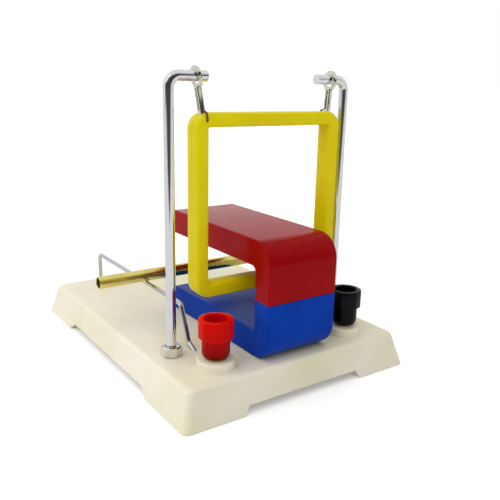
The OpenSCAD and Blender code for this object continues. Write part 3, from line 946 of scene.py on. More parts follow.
@cache
def fastener_tree() -> Tree:
    """Builds the tree that sets a turned copy of one fastener on each point.

    Returns:
        The geometry tree.
    """
    group = Group("fasteners_on_points", TreeKind.SHAPE, (
        "Geometry", "Fastener", "Turn", "Finish",
    ), ("Geometry",))
    given = group.given
    source = group.add("GeometryNodeObjectInfo", {"Object": given["Fastener"]})
    return group.close_shape(group.out("GeometryNodeInstanceOnPoints", {
        "Points": group.out("GeometryNodeMeshToPoints", {"Mesh": given["Geometry"]}),
        "Instance": source.outputs["Geometry"],
        "Rotation": group.out("ShaderNodeCombineXYZ", {"Z": given["Turn"]}),
    }))


@cache
def frame_tree() -> Tree:
    """Builds the tree that sweeps a section round an upright rectangle with round corners.

    Returns:
        The geometry tree.
    """
    group = Group("section_round_a_frame", TreeKind.SHAPE, (
        "Geometry", "Width", "Height", "Corner", "Corner Steps", "Middle", "Finish",
    ), ("Geometry",))
    given = group.given
    oblong = {"Width": given["Width"], "Height": given["Height"]}
    sharp = group.out("GeometryNodeCurvePrimitiveQuadrilateral", oblong, mode="RECTANGLE")
    path = group.fillet(sharp, "Corner Steps", "Corner")
    swept = group.out("GeometryNodeCurveToMesh", {
        "Curve": group.out("GeometryNodeSetCurveNormal", {"Curve": path}, mode="Z_UP"),
        "Profile Curve": group.out("GeometryNodeMeshToCurve", {"Mesh": given["Geometry"]}),
    })
    return group.close_shape(group.out("GeometryNodeTransform", {
        "Geometry": swept, "Translation": given["Middle"], "Rotation": (QUARTER, 0.0, 0.0),
    }))


def line_mesh(name: str, points: Sequence[Vector], closed: bool = False) -> Mesh:
    """Makes a mesh of edges from point to point.

    Args:
        name: the mesh's name.
        points: the points in order.
        closed: whether the last is joined to the first.

    Returns:
        The mesh.
    """
    edges = [(k, k + 1) for k in range(len(points) - 1)]
    if closed:
        edges.append((len(points) - 1, 0))
    made = bpy.data.meshes.new(name)
    made.from_pydata([tuple(p) for p in points], edges, [])
    return made


@dataclass
class BentRod:
    """A round rod bent along a run of points, with its cut ends chamfered."""

    run: Sequence[Vector]
    diameter: float
    bend: float
    chamfer: float = 0.3
    sides: int = 40
    bend_steps: int = 14

    def mesh(self, finish: Finish) -> Mesh:
        """Draws the rod with the rod tree.

        Args:
            finish: the rod's finish.

        Returns:
            The rod's mesh in metres.
        """
        first = (self.run[1] - self.run[0]).normalized() * self.chamfer
        last = (self.run[-2] - self.run[-1]).normalized() * self.chamfer
        points = [self.run[0], self.run[0] + first, *self.run[1:-1], self.run[-1] + last, self.run[-1]]
        line = line_mesh("run", points)
        tip = 1.0 - self.chamfer / (self.diameter / 2.0)
        girth = line.attributes.new("girth", "FLOAT", "POINT")
        girth.data.foreach_set("value", [tip, *[1.0] * (len(points) - 2), tip])
        values = {"Radius": self.diameter / 2.0, "Bend": self.bend, "Bend Steps": self.bend_steps,
                  "Sides": self.sides, "Finish": finish.material()}
        return grow(rod_tree(), line, values)


class Assembly(ABC):
    """A sub-assembly of the apparatus."""

    @abstractmethod
    def build(self) -> list[Piece]:
        """Builds the sub-assembly's meshes and dresses them.

        Returns:
            Its pieces, and the CAD nodes that it keeps.
        """


@dataclass
class MouldedBase(Assembly):
    """The hollow cream base on its four corner feet, with a boss for each terminal."""

    height: float = 12.0
    draft: float = 3.3
    corner: float = 6.0
    corner_edge: float = 2.2
    rim: float = 1.8
    wall: float = 2.4
    plate: float = 2.4
    edge: float = 0.35
    foot_height: float = 2.8
    foot_x: float = 21.5
    foot_y: float = 25.5
    foot_slope_x: float = 1.4
    foot_slope_y: float = 3.5
    foot_soft: float = 0.5
    boss: float = 6.0
    boss_rim: float = 0.6
    boss_foot: float = 0.35
    stud_hole: float = 2.1
    post_hole: float = 1.7
    rail_hole: float = 0.9
    socket: float = 2.4
    socket_floor: float = 5.8
    drill_past: float = 1.0
    edge_steps: int = 4
    rim_steps: int = 8
    boss_steps: int = 6
    corner_steps: int = 12
    columns: int = 72

    def __post_init__(self) -> None:
        """Takes the base's outline and the places on it from the frame."""
        _, high = box_mm("base")
        self.core = (high.x - self.corner, high.y - self.corner)
        self.boss_top = high.z
        self.under = self.height - self.plate
        self.studs = rod_places("terminal_stud")
        self.posts = rod_places("post")
        self.rails = [Rails().run(side) for side in Side]

    def side_stations(self, half: float, foot: float, slope: float) -> list[Flat]:
        """Gives the columns along one side, with the height of its lower edge at each.

        Args:
            half: half the side's full length.
            foot: the length of a corner foot.
            slope: how far a foot's end leans.

        Returns:
            Places along the side, from one corner to the other, with their heights.
        """
        gap = half - foot
        lean = Vector((-slope, self.foot_height)).normalized() * self.foot_soft
        level = Vector((self.foot_soft, 0.0))
        bottom, top = Vector((gap, 0.0)), Vector((gap - slope, self.foot_height))
        right = [(half - self.corner, 0.0)]
        for start, knee, stop in ((bottom + level, bottom, bottom + lean), (top - lean, top, top - level)):
            for k in range(self.edge_steps + 1):
                share = k / self.edge_steps
                spot = start.lerp(knee, share).lerp(knee.lerp(stop, share), share)
                right.append((spot.x, spot.y))
        right.append((0.0, self.foot_height))
        return [(-x, z) for x, z in right] + right[-2::-1]

    def outline(self) -> list[tuple[Vector, Vector, Vector, float]]:
        """Goes once round the base.

        Returns:
            For each column, a point of the core, the direction outwards, the way to the corner's own
            centre (nothing along the sides) and the lower edge's height.
        """
        core_x, core_y = self.core
        sides = (
            (core_x, core_y, self.foot_y, self.foot_slope_y),
            (core_y, core_x, self.foot_x, self.foot_slope_x),
        )
        found = []
        for quarter, (across, along, foot, slope) in enumerate(sides * 2):
            turn = Matrix.Rotation(QUARTER * quarter, 3, "Z")
            out = turn @ Vector((1.0, 0.0, 0.0))
            for place, lift in self.side_stations(along + self.corner, foot, slope):
                found.append((turn @ Vector((across, place, 0.0)), out, Vector(), lift))
            skew = turn @ Vector((1.0, 1.0, 0.0))
            for k in range(self.corner_steps + 1):
                tilt = Matrix.Rotation(QUARTER * k / self.corner_steps, 3, "Z")
                found.append((turn @ Vector((across, along, 0.0)), tilt @ out, skew, 0.0))
        return found

    def column(self, core: Vector, out: Vector, skew: Vector, lift: float) -> list[Vector]:
        """Stands the wall's section up in one column of the outline.

        Args:
            core: the column's point of the core.
            out: the direction outwards.
            skew: the way from the core's corner to the centre of the rounding, or nothing.
            lift: the height of the lower edge.

        Returns:
            The column's points.
        """
        found = []
        for reach, z in self.section(lift):
            past = max(reach - self.corner_edge, 0.0) if skew.length else 0.0
            found.append(core + skew * past + out * (reach - past) + upward(z))
        return found

    def section(self, lift: float) -> list[Flat]:
        """Draws the wall in section, from under the plate, round the lower edge and up to the rim.

        A row beside the lower edge, on each face, keeps the edge's shading off the flat wall.

        Args:
            lift: the height of the lower edge.

        Returns:
            Distances outwards from the core, with heights.
        """
        lean = self.draft / self.height
        slant = math.degrees(math.atan(lean))
        knee = lift + self.edge
        guard = knee + self.edge
        inner = self.corner - self.wall
        outer_knee = self.corner - lean * knee - self.edge
        inner_knee = inner - lean * knee + self.edge
        rim_z = self.height - self.rim
        rim_x = self.corner - lean * rim_z - self.rim / math.cos(math.radians(slant))
        roof = inner - lean * self.under
        return [
            (roof - self.edge, self.under), (roof, self.under - self.edge), (inner - lean * guard, guard),
            *bow((inner_knee, knee), self.edge, 180.0, 270.0, self.edge_steps),
            *bow((outer_knee, knee), self.edge, 270.0, 360.0, self.edge_steps),
            (self.corner - lean * guard, guard),
            *bow((rim_x, rim_z), self.rim, slant, 90.0, self.rim_steps),
        ]

    def tray(self) -> Mesh:
        """Makes the hollow plate on its feet and drills it for the posts, the studs and the rails.

        Returns:
            The drilled plate, in metres.
        """
        shell, drills = bmesh.new(), bmesh.new()
        add_loft(shell, list(zip(*[self.column(*place) for place in self.outline()])))
        floor, top = self.under - self.drill_past, self.height + self.drill_past
        for radius, places in ((self.stud_hole, self.studs), (self.post_hole, self.posts)):
            for place in places:
                self.add_drill(drills, radius, place + upward(floor), place + upward(top))
        for run in self.rails:
            self.add_drill(drills, self.rail_hole, run[1], run[2])
            self.add_drill(drills, self.rail_hole, run[-1], run[-1] + upward(top - run[-1].z))
        cutter = hold(finish_mesh(drills, "drills"))
        holder = hold(finish_mesh(shell, "tray"))
        cut = holder.modifiers.new("drilled", "BOOLEAN")
        cut.object, cut.operation, cut.solver = cutter, "DIFFERENCE", "EXACT"
        made = evaluated_mesh(holder)
        bpy.data.objects.remove(cutter)
        return made

    def add_drill(self, mesh: Draft, radius: float, start: Vector, stop: Vector) -> None:
        """Adds a round cutter.

        Args:
            mesh: the mesh that takes it.
            radius: its radius.
            start: the middle of one end.
            stop: the middle of the other end.
        """
        along = stop - start
        turn = along.to_track_quat("Z", "Y").to_matrix().to_4x4()
        bmesh.ops.create_cone(
            mesh, cap_ends=True, segments=self.columns // 2, radius1=radius, radius2=radius,
            depth=along.length, matrix=Matrix.Translation((start + stop) / 2.0) @ turn,
        )

    def add_boss(self, mesh: Draft, place: Vector) -> None:
        """Adds a terminal's boss, with a soft rim and a small fillet at its foot.

        Args:
            mesh: the mesh that takes it.
            place: where its axis stands.
        """
        sunk = self.height - self.edge / 2.0
        crown = (self.boss - self.boss_rim, self.boss_top - self.boss_rim)
        skirt = (self.boss + self.boss_foot, self.height + self.boss_foot)
        add_lathed(mesh, [
            (self.stud_hole, sunk), (self.stud_hole, self.boss_top),
            *bow(crown, self.boss_rim, 90.0, 0.0, self.boss_steps),
            *bow(skirt, self.boss_foot, 180.0, 270.0, self.edge_steps), (skirt[0], sunk),
        ], self.columns, place)

    def add_socket(self, mesh: Draft, place: Vector) -> None:
        """Adds the socket under the plate that holds a rail's back leg.

        Args:
            mesh: the mesh that takes it.
            place: where its axis stands.
        """
        soft, sunk = self.edge, self.under + self.edge / 2.0
        add_lathed(mesh, [
            (0.0, self.socket_floor), (self.socket - soft, self.socket_floor),
            (self.socket, self.socket_floor + soft), (self.socket, sunk), (0.0, sunk),
        ], self.columns // 2, place)

    def build(self) -> list[Piece]:
        """Builds the base as one moulding.

        Returns:
            The moulding.
        """
        fittings, joined = bmesh.new(), bmesh.new()
        for place in self.studs:
            self.add_boss(fittings, place)
        for run in self.rails:
            self.add_socket(fittings, Vector((run[-1].x, run[-1].y, 0.0)))
        for part in (self.tray(), finish_mesh(fittings, "fittings")):
            joined.from_mesh(part)
        mesh = finish_mesh(joined, "base_moulding", 1.0)
        return [place_piece("base_moulding", mesh, CREAM, "base", "base")]


def rod_places(rod: str) -> list[Vector]:
    """Gives where the left and the right one of a pair of upright rods stand.

    Args:
        rod: the rods' name, without the side.

    Returns:
        The places of their axes, at height zero.
    """
    found = []
    for side in Side:
        low, high = box_mm(f"{rod}_{side.word}")
        outer = low.x if side is Side.LEFT else high.x
        reach = (high.y - low.y) / 2.0
        found.append(Vector((outer - side.value * reach, low.y + reach, 0.0)))
    return found


@dataclass
class Fasteners(Assembly):
    """The nuts and washers: bright nuts on the base, plain ones under it."""

    chamfer_deg: float = 30.0
    crown: float = 0.92
    edge: float = 0.12
    post_bore: float = 1.65
    stud_bore: float = 2.05
    top_turn: float = TURN / 12.0
    nut_sides: int = 6
    nut_columns: int = 72
    washer_columns: int = 48

    def nut(self, width: float, height: float, bore: float) -> Mesh:
        """Makes a hexagon nut with its corners turned off.

        Args:
            width: across the flats.
            height: from face to face.
            bore: the bore's radius.

        Returns:
            The nut, standing on the origin, in millimetres.
        """
        slope = math.tan(math.radians(self.chamfer_deg))
        face = self.crown * width / 2.0
        lead_in = 2.0 * self.edge

        def corner(angle: float, upper: bool) -> Flat:
            """Gives the radius and the height where the turned cone meets the flats."""
            radius = polygon_radius(angle, self.nut_sides, width)
            drop = (radius - face) * slope
            return radius, height - drop if upper else drop

        rings = [
            *plain_rings([(bore, self.edge), (bore + self.edge, 0.0), (face, 0.0)]),
            lambda angle: corner(angle, False), lambda angle: corner(angle, True),
            *plain_rings([(face, height), (bore + lead_in, height), (bore, height - lead_in)]),
        ]
        made = bmesh.new()
        add_turned(made, rings, full_turn(self.nut_columns), Vector())
        return finish_mesh(made, "nut", 1.0)

    def washer(self, outer: float, thickness: float, bore: float) -> Mesh:
        """Makes a washer with a rolled edge.

        Args:
            outer: its outer radius.
            thickness: from face to face.
            bore: the bore's radius.

        Returns:
            The washer, standing on the origin, in millimetres.
        """
        soft = self.edge
        made = bmesh.new()
        add_lathed(made, [
            (bore, soft), (bore + soft, 0.0), (outer - soft, 0.0), (outer, soft), (outer, thickness - soft),
            (outer - soft, thickness), (bore + soft, thickness), (bore, thickness - soft),
        ], self.washer_columns, Vector())
        return finish_mesh(made, "washer", 1.0)

    def build(self) -> list[Piece]:
        """Builds one piece for each node of fasteners.

        Returns:
            The pieces.
        """
        rods = {"post": ("post", self.post_bore), "terminal": ("terminal_stud", self.stud_bore)}
        pieces = []
        for node, finish in (
            ("post_top_nuts", CHROME_NUT), ("post_bottom_nuts", ZINC), ("post_washers", ZINC),
            ("terminal_nuts", ZINC), ("terminal_washers", ZINC),
        ):
            low, high = box_mm(node)
            deep, tall = high.y - low.y, high.z - low.z
            rod, bore = rods[node.split("_")[0]]
            turn = self.top_turn if node == "post_top_nuts" else 0.0
            if node.endswith("washers"):
                single = self.washer(deep / 2.0, tall, bore)
            else:
                single = self.nut(deep * math.cos(turn), tall, bore)
            source = hold(single)
            points = bpy.data.meshes.new("points")
            points.from_pydata([(p.x, p.y, low.z) for p in rod_places(rod)], [], [])
            values = {"Fastener": source, "Turn": turn, "Finish": finish.material()}
            mesh = grow(fastener_tree(), points, values)
            bpy.data.objects.remove(source)
            pieces.append(place_piece(node + "_turned", mesh, finish, "base", node))
        return pieces


@dataclass
class Posts(Assembly):
    """The two chromed posts, bent over at the top so that their arms carry the coil."""

    diameter: float = 3.2
    bend: float = 3.5
    sides: int = 56
    bend_steps: int = 20

    def build(self) -> list[Piece]:
        """Builds both posts from the frame's reach.

        Returns:
            The posts.
        """
        pieces = []
        for side in Side:
            node = f"post_{side.word}"
            low, high = box_mm(node)
            outer, tip = (low.x, high.x) if side is Side.LEFT else (high.x, low.x)
            upright = outer - side.value * self.diameter / 2.0
            middle, arm = (low.y + high.y) / 2.0, high.z - self.diameter / 2.0
            run = [Vector((x, middle, z)) for x, z in ((upright, low.z), (upright, arm), (tip, arm))]
            rod = BentRod(run, self.diameter, self.bend, sides=self.sides, bend_steps=self.bend_steps)
            pieces.append(place_piece(f"{node}_rod", rod.mesh(CHROME), CHROME, "base", node))
        return pieces


@dataclass
class Rails(Assembly):
    """The two wire rails: from under the terminals up through the plate, along and down into the base."""

    diameter: float = 1.6
    bend: float = 2.0
    chamfer: float = 0.2
    tail: float = 2.2
    riser_foot: float = 14.05
    knee: float = 13.25
    riser_lean: float = 5.3
    leg_end: float = 7.45
    sides: int = 32

    def run(self, side: Side) -> list[Vector]:
        """Gives a rail's points from the frame's reach.

        Args:
            side: the rail's side.

        Returns:
            Its tip, its dive, its knee, the top of its riser, its back corner and the end of its leg.
        """
        low, high = box_mm(f"rail_{side.word}")
        radius = self.diameter / 2.0
        under, top, back = low.z + radius, high.z - radius, high.y - radius
        foot = low.y + self.riser_foot
        flat = [(low.y, under), (low.y + self.tail, under), (foot, self.knee), (foot + self.riser_lean, top),
                (back, top), (back, self.leg_end)]
        return [Vector(((low.x + high.x) / 2.0, y, z)) for y, z in flat]

    def build(self) -> list[Piece]:
        """Builds both rails.

        Returns:
            The rails.
        """
        pieces = []
        for side in Side:
            node = f"rail_{side.word}"
            rod = BentRod(self.run(side), self.diameter, self.bend, chamfer=self.chamfer, sides=self.sides)
            pieces.append(place_piece(f"{node}_wire", rod.mesh(CHROME_WIRE), CHROME_WIRE, "base", node))
        return pieces


@dataclass
class BrassTube(Assembly):
    """The loose brass tube that rolls on the rails."""

    wall: float = 0.4
    lip: float = 0.12
    columns: int = 72

    def build(self) -> list[Piece]:
        """Builds the tube with soft lips at both ends.

        Returns:
            The tube.
        """
        low, high = box_mm("brass_tube")
        outer, half = (high.z - low.z) / 2.0, (high.x - low.x) / 2.0
        inner, lip = outer - self.wall, self.lip
        made = bmesh.new()
        add_lathed(made, [
            (inner, lip - half), (inner + lip, -half), (outer - lip, -half), (outer, lip - half),
            (outer, half - lip), (outer - lip, half), (inner + lip, half), (inner, half - lip),
        ], self.columns, Vector())
        bmesh.ops.rotate(made, cent=Vector(), matrix=Matrix.Rotation(QUARTER, 3, "Y"), verts=made.verts)
        bmesh.ops.translate(made, vec=(low + high) / 2.0, verts=made.verts)
        return [place_piece("brass_tube_drawn", finish_mesh(made, "tube"), BRASS, "tube", "brass_tube")]


@dataclass
class GrippedKnob:
    """A terminal knob: a tapered foot, a round body, a wide grip of many flats and a hollow top."""

    body: float = 4.4
    foot: float = 3.2
    taper: float = 2.3
    grip: float = 5.6
    grip_height: float = 6.0
    grip_sides: int = 12
    corner_wear: float = 0.05
    corner_spread: float = 0.03
    bevel: float = 0.5
    recess: float = 3.7
    recess_depth: float = 3.0
    recess_draft: float = 0.12
    dimple: float = 0.9
    dimple_depth: float = 0.25
    bore: float = 2.85
    bore_depth: float = 8.6
    edge: float = 0.2
    columns: int = 144
    bowl_steps: int = 8

    def bowl(self) -> list[Flat]:
        """Gives the rounded way from the foot up to the body.

        Returns:
            Radii with heights.
        """
        flare = self.body - self.foot
        bends = [QUARTER * k / self.bowl_steps for k in range(self.bowl_steps + 1)]
        return [(self.foot + flare * math.sin(b), self.taper * (1.0 - math.cos(b))) for b in bends]

    def mesh(self, centre: Vector, height: float, turn: float) -> Mesh:
        """Makes the knob on its terminal.

        Args:
            centre: the middle of its foot.
            height: its full height.
            turn: how far its grip is turned.

        Returns:
            The knob's mesh in metres.
        """
        sides, most = self.grip_sides, self.grip - self.corner_wear
        across_flats = 2.0 * self.grip * math.cos(math.pi / sides)

        def gripped(inset: float, z: float) -> Ring:
            """Gives a ring of the grip, with its corners worn a little round."""
            return lambda angle: (min(polygon_radius(angle - turn, sides, across_flats), most) - inset, z)

        edge, low, floor = self.edge, height - self.grip_height, height - self.recess_depth
        inner, dimple = self.recess - self.recess_draft, floor - self.dimple_depth
        bulge = edge / 4.0
        rings = plain_rings([
            (0.0, self.bore_depth), (self.bore, self.bore_depth), (self.bore, 0.0), (self.foot - edge, 0.0),
            *self.bowl(), (self.body, low - edge), (self.body + edge, low),
        ])
        rings += [gripped(*row) for row in (
            (edge, low), (bulge, low + bulge), (0.0, low + edge), (0.0, height - self.bevel),
            (edge / 2.0, height - edge), (self.bevel, height),
        )]
        rings += plain_rings([
            (self.recess + edge, height), (self.recess, height - edge), (inner, floor + edge),
            (inner - edge, floor), (self.dimple + edge, floor), (self.dimple, dimple), (0.0, dimple),
        ])
        beside = (-self.corner_spread, 0.0, self.corner_spread)
        corners = [turn + TURN * (k + share) / sides for k in range(sides) for share in beside]
        made = bmesh.new()
        add_turned(made, rings, full_turn(self.columns, corners), centre)
        return finish_mesh(made, "knob")


@dataclass
class Terminals(Assembly):
    """The red and the black terminal: knobs that turn on studs, and what joins them to the posts."""

    knob: GrippedKnob = field(default_factory=GrippedKnob)
    red_turn: float = math.radians(13.0)
    black_turn: float = math.radians(1.0)

    def build(self) -> list[Piece]:
        """Builds the knobs and dresses the brass in and under them.

        Returns:
            The knobs, and the CAD nodes that are kept.
        """
        pieces = []
        kinds = (("red", RED_KNOB, self.red_turn), ("black", BLACK_KNOB, self.black_turn))
        for place, side, (colour, finish, turn) in zip(rod_places("terminal_stud"), Side, kinds):
            node = f"{colour}_knob"
            low, high = box_mm(node)
            mesh = self.knob.mesh(place + upward(low.z), high.z - low.z, turn)
            pieces.append(place_piece(f"{node}_moulding", mesh, finish, node, node))
            pieces.append(dress_node(f"{node}_insert", THREADED_BRASS))
            pieces.append(dress_node(f"terminal_stud_{side.word}", THREADED_BRASS))
            pieces.append(dress_node(f"link_{side.word}", SHEET_BRASS))
        return pieces


@dataclass
class HangingCoil(Assembly):
    """The yellow coil case with its winding, its leads and the lugs that hang it on the arms."""

    bar: float = 4.4
    inner_corner: float = 0.6
    edge: float = 1.0
    wall: float = 0.8
    seam: float = 0.12
    edge_steps: int = 8
    corner_steps: int = 12
    lead: float = 0.6
    lead_chamfer: float = 0.08
    lead_slant: float = math.radians(10.0)
    lead_foot: float = 25.3
    lead_standoff: float = 0.2
    lead_drop: float = 2.6
    lead_rise: float = 0.8
    lead_start: float = 2.5
    lead_stop: float = 1.25
    lead_sides: int = 16
    lead_steps: int = 8
    lug_edge: float = 0.1

    def __post_init__(self) -> None:
        """Takes the case's box from the frame."""
        self.low, self.high = box_mm("coil_front_shell")
        self.half = self.high.y - self.low.y
        self.middle = (self.low + self.high) / 2.0
        self.middle.y = self.high.y

    def section(self, forward: float) -> list[Vector]:
        """Draws one shell's channel in section.

        Args:
            forward: 1 for the front shell and -1 for the back one.

        Returns:
            Points outwards from the inner face and away from the seam.
        """
        flat, far = self.half - self.edge, self.bar - self.wall
        depth = self.half - self.wall
        rows = [
            (0.0, self.seam), *bow((self.edge, flat), self.edge, 180.0, 90.0, self.edge_steps),
            *bow((self.bar - self.edge, flat), self.edge, 90.0, 0.0, self.edge_steps),
            (self.bar, self.seam), (self.bar - self.seam, 0.0),
            (far, 0.0), (far, depth), (self.wall, depth), (self.wall, 0.0), (self.seam, 0.0),
        ]
        return [Vector((x, -forward * y, 0.0)) for x, y in rows]

    def shell(self, word: str, forward: float) -> Piece:
        """Sweeps one shell of the case.

        Args:
            word: front or back.
            forward: 1 for the front shell and -1 for the back one.

        Returns:
            The shell.
        """
        node = f"coil_{word}_shell"
        values = {
            "Width": self.high.x - self.low.x - 2.0 * self.bar,
            "Height": self.high.z - self.low.z - 2.0 * self.bar,
            "Corner": self.inner_corner, "Corner Steps": self.corner_steps,
            "Middle": self.middle, "Finish": YELLOW.material(),
        }
        mesh = grow(frame_tree(), line_mesh("section", self.section(forward), closed=True), values)
        return place_piece(f"{node}_moulding", mesh, YELLOW, "coil", node)

    def lead_run(self, side: Side) -> list[Vector]:
        """Gives a lead's points: out of the case's face, up, and over to its lug.

        Args:
            side: the left lead comes out at the front, the right one at the back.

        Returns:
            The run's points.
        """
        gap = self.half + self.lead_standoff + self.lead / 2.0
        flat = [(-self.lead_start, -self.lead_drop), (-gap, -self.lead_drop), (-gap, 0.0),
                (-self.lead_stop, self.lead_rise)]
        slant = Matrix.Rotation(-self.lead_slant, 3, "Y")
        about = Matrix.Rotation(0.0 if side is Side.LEFT else math.pi, 3, "Z")
        top = Vector((self.middle.x, self.middle.y, self.high.z))
        foot = Vector((-self.lead_foot, 0.0, 0.0))
        return [top + about @ (foot + slant @ Vector((0.0, y, z))) for y, z in flat]

    def build(self) -> list[Piece]:
        """Builds the case, the leads and the lugs.

        Returns:
            The pieces, and the winding's CAD node.
        """
        pieces = [self.shell("front", 1.0), self.shell("back", -1.0), dress_node("coil_winding", COPPER)]
        for side in Side:
            lead, lug = f"coil_lead_{side.word}", f"lug_{side.word}"
            run = self.lead_run(side)
            rod = BentRod(run, self.lead, self.lead, self.lead_chamfer, self.lead_sides, self.lead_steps)
            pieces.append(place_piece(f"{lead}_wire", rod.mesh(ENAMEL), ENAMEL, "coil", lead))
            pieces.append(place_piece(f"{lug}_sheet", softened_copy(lug, self.lug_edge), NICKEL, "coil", lug))
        return pieces


@dataclass
class UMagnet(Assembly):
    """The U magnet: red and blue halves of its case, round a steel yoke and two ferrite blocks."""

    leg: float = 8.6
    web: float = 8.2
    bend: float = 8.0
    mouth: float = 2.0
    tip: float = 1.2
    edge: float = 0.7
    guard: float = 0.3
    seam: float = 0.25
    bend_steps: int = 20
    mouth_steps: int = 8
    tip_steps: int = 6
    edge_steps: int = 6

    def __post_init__(self) -> None:
        """Takes the magnet's box from its two halves."""
        red_low, self.high = box_mm("magnet_red_shell")
        self.low, _ = box_mm("magnet_blue_shell")
        self.split = red_low.z

    def half_outline(self) -> list[tuple[Flat, Flat]]:
        """Draws the upper half from the side, from the seam over the bend to the tip and back into the mouth.

        Returns:
            Each point with the direction outwards; lengths run back from the closed end and up from the seam.
        """
        length, rise = self.high.y - self.low.y, self.high.z - self.split
        under, end = rise - self.leg, length - self.tip
        outside, inside = (-1.0, 0.0), (1.0, 0.0)
        hollow = arc((self.web + self.mouth, under - self.mouth), self.mouth, 90.0, 180.0, self.mouth_steps)
        return [
            ((self.seam, 0.0), outside), ((0.0, self.seam), outside),
            *arc((self.bend, rise - self.bend), self.bend, 180.0, 90.0, self.bend_steps),
            *arc((end, rise - self.tip), self.tip, 90.0, 0.0, self.tip_steps),
            *arc((end, under + self.tip), self.tip, 0.0, -90.0, self.tip_steps),
            *[(spot, (-out[0], -out[1])) for spot, out in hollow],
            ((self.web, self.seam), inside), ((self.web - self.seam, 0.0), inside),
        ]

    def shell(self, colour: str, finish: Finish, way: float) -> Piece:
        """Makes one half of the case; rows beside its round edges keep its faces flat in the light.

        Args:
            colour: the half's colour, as in its node's name.
            finish: its finish.
            way: 1 for the upper half and -1 for the lower one.

        Returns:
            The half.
        """
        past = self.edge + self.guard
        corner = bow((self.edge, self.edge), self.edge, 180.0, 270.0, self.edge_steps)
        cuts = [(0.0, past), *corner, (past, 0.0)]
        rows = [(self.low.x + x, inset) for x, inset in cuts]
        rows += [(self.high.x - x, inset) for x, inset in reversed(cuts)]
        made = bmesh.new()
        add_loft(made, [
            [Vector((x, self.low.y + y - inset * out_y, self.split + way * (z - inset * out_z)))
             for (y, z), (out_y, out_z) in self.half_outline()]
            for x, inset in rows
        ])
        node = f"magnet_{colour}_shell"
        return place_piece(f"{node}_moulding", finish_mesh(made, node), finish, "magnet", node)

    def build(self) -> list[Piece]:
        """Builds both halves and dresses what they hold.

        Returns:
            The halves, and the CAD nodes that are kept.
        """
        kept = (("magnet_yoke", YOKE_STEEL), ("north_block", FERRITE), ("south_block", FERRITE))
        halves = [self.shell("red", RED, 1.0), self.shell("blue", BLUE, -1.0)]
        return [*halves, *[dress_node(*node) for node in kept]]


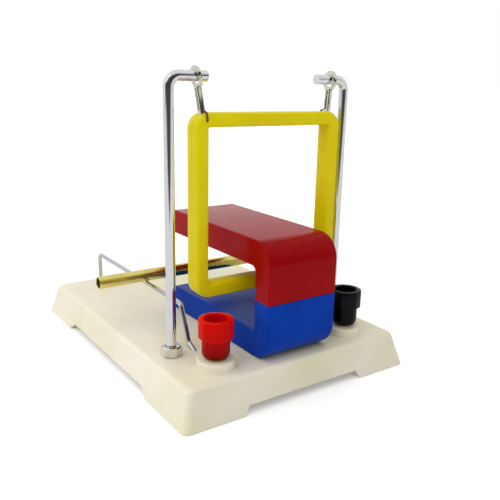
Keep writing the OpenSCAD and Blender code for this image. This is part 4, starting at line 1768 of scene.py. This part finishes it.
@dataclass
class Studio:
    """The camera at the photograph's angle, soft light from above, and a pale floor.

    All but the camera's place is in metres here.
    """

    image: float = 500.0
    focal: float = 615.37
    sensor: float = 36.0
    clip: Flat = (0.005, 100.0)
    yaw: float = math.radians(35.087)
    pitch: float = math.radians(15.042)
    roll: float = math.radians(1.288)
    eye: Vector = field(default_factory=lambda: Vector((-118.64, -195.03, 96.26)))
    lamp_place: Vector = field(default_factory=lambda: Vector((-0.5, -0.02, 0.62)))
    lamp_aim: Vector = field(default_factory=lambda: upward(0.03))
    lamp_size: float = 0.6
    lamp_power: float = 0.3
    sky: float = 0.32
    glow: float = 1.16
    glow_from: Vector = field(default_factory=lambda: Vector((-0.38, 0.1, 0.92)).normalized())
    glow_span: Flat = (0.2, 0.95)
    mirror_sky: float = 0.82
    floor_half: float = 12.0
    floor_colour: Rgba = field(default_factory=lambda: paint(246, 246, 246))
    floor_cloud: Rgba = field(default_factory=lambda: paint(248, 248, 248))
    floor_patch: float = 3.0
    floor_roughness: float = 0.9
    floor_shine: float = 0.1
    floor_lift: float = 0.25
    near_mirror: float = 0.78
    far_mirror: float = 0.055
    dark_from: float = 0.3
    dark_turn: float = math.radians(10.0)
    dark_floor: Flat = (0.45, 0.85)
    dark_sky: Flat = (0.2, 0.5)
    dark_squeeze: float = 1.7

    @staticmethod
    def heading(yaw: float) -> Vector:
        """Gives the level way that a yaw looks."""
        return Vector((math.sin(yaw), math.cos(yaw), 0.0))

    def camera(self) -> None:
        """Stands the camera where the photograph was taken."""
        forward = self.heading(self.yaw) * math.cos(self.pitch) - upward(math.sin(self.pitch))
        level = Vector((math.cos(self.yaw), -math.sin(self.yaw), 0.0))
        rise = level.cross(forward)
        right = math.cos(self.roll) * level + math.sin(self.roll) * rise
        above = math.cos(self.roll) * rise - math.sin(self.roll) * level
        lens = bpy.data.cameras.new("camera")
        lens.sensor_width = self.sensor
        lens.lens = self.focal / self.image * self.sensor
        lens.clip_start, lens.clip_end = self.clip
        camera = bpy.data.objects.new("camera", lens)
        turn = Matrix((right, above, -forward)).transposed().to_4x4()
        camera.matrix_world = Matrix.Translation(self.eye * MM) @ turn
        bpy.context.scene.collection.objects.link(camera)
        bpy.context.scene.camera = camera

    def lamp(self) -> None:
        """Hangs one large soft lamp at the upper left of the apparatus."""
        light = bpy.data.lights.new("soft_box", "AREA")
        light.shape, light.size, light.energy = "SQUARE", self.lamp_size, self.lamp_power
        lamp = bpy.data.objects.new("soft_box", light)
        lamp.location = self.lamp_place
        lamp.rotation_euler = (self.lamp_aim - lamp.location).to_track_quat("-Z", "Y").to_euler()
        bpy.context.scene.collection.objects.link(lamp)

    def world(self) -> None:
        """Makes a white room that is brighter at the upper left."""
        made = bpy.data.worlds.new("white_room")
        made.use_nodes = True
        bpy.context.scene.world = made
        wiring = Wiring(made.node_tree)
        look = wiring.add("ShaderNodeTexCoord").outputs["Generated"]
        toward = wiring.vector("DOT_PRODUCT", look, self.glow_from).outputs["Value"]
        lit = wiring.spread(toward, self.glow_span, self.sky, self.sky + self.glow)
        flat = wiring.vector("MULTIPLY", look, (1.0, 1.0, self.dark_squeeze)).outputs["Vector"]
        mirrored = self.darkened(wiring, flat, self.mirror_sky, self.dark_sky)
        rays = wiring.add("ShaderNodeLightPath").outputs
        seen = wiring.maths("MAXIMUM", rays["Is Camera Ray"], rays["Is Transmission Ray"])
        plain = wiring.spread(rays["Is Glossy Ray"], FULL, lit, mirrored)
        strength = wiring.spread(seen, FULL, plain, 1.0)
        wiring.feed(made.node_tree.nodes["Background"], {"Color": WHITE, "Strength": strength})

    def darkened(self, wiring: Wiring, way: Socket, pale: float, fade: Flat) -> Socket:
        """Gives the room's grey for polished metal: pale, but dark in front, on the camera's side.

        Args:
            wiring: the material's or the world's wiring.
            way: the direction looked in, of any length.
            pale: the grey elsewhere.
            fade: how squarely in front the dark starts, and is full.

        Returns:
            The grey level.
        """
        front = -self.heading(self.yaw - self.dark_turn)
        away = wiring.out("ShaderNodeVectorMath", {0: way}, operation="NORMALIZE")
        facing = wiring.vector("DOT_PRODUCT", away, front).outputs["Value"]
        return wiring.spread(facing, fade, pale, self.far_mirror)

    def mirrored_floor(self, wiring: Wiring, place: Socket) -> Socket:
        """Gives the floor's grey for polished metal, dark from some way in front of the apparatus."""
        past = wiring.vector("SUBTRACT", place, -self.dark_from * self.heading(self.yaw))
        return self.darkened(wiring, past.outputs["Vector"], self.near_mirror, self.dark_floor)

    def floor(self) -> None:
        """Lays the pale floor, lifted to white for the camera where no shadow falls."""
        mesh = bpy.data.meshes.new("floor")
        half = self.floor_half
        corners = [(-half, -half, 0.0), (half, -half, 0.0), (half, half, 0.0), (-half, half, 0.0)]
        mesh.from_pydata(corners, [], [(0, 1, 2, 3)])
        pale = bpy.data.materials.new("pale_floor")
        pale.use_nodes = True
        wiring = Wiring(pale.node_tree)
        place = wiring.add("ShaderNodeTexCoord").outputs["Object"]
        white = wiring.tint(wiring.noise(place, self.floor_patch), self.floor_colour, self.floor_cloud)
        rays = wiring.add("ShaderNodeLightPath").outputs
        wiring.feed(pale.node_tree.nodes["Principled BSDF"], {
            "Base Color": wiring.tint(rays["Is Glossy Ray"], white, self.mirrored_floor(wiring, place)),
            "Roughness": self.floor_roughness,
            "Specular IOR Level": self.floor_shine,
            "Emission Color": WHITE,
            "Emission Strength": wiring.maths("MULTIPLY", rays["Is Camera Ray"], self.floor_lift),
        })
        mesh.materials.append(pale)
        hold(mesh)

    def build(self) -> None:
        """Sets the whole studio up."""
        bpy.context.scene.view_settings.view_transform = "Standard"
        self.camera()
        self.lamp()
        self.world()
        self.floor()


def main() -> None:
    """Builds the studio and every sub-assembly."""
    logging.basicConfig(level=logging.INFO, format="%(name)s: %(message)s")
    Studio().build()
    for kind in (MouldedBase, Fasteners, Posts, Rails, BrassTube, Terminals, HangingCoil, UMagnet):
        for piece in kind().build():
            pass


if __name__ == "__main__":
    main()
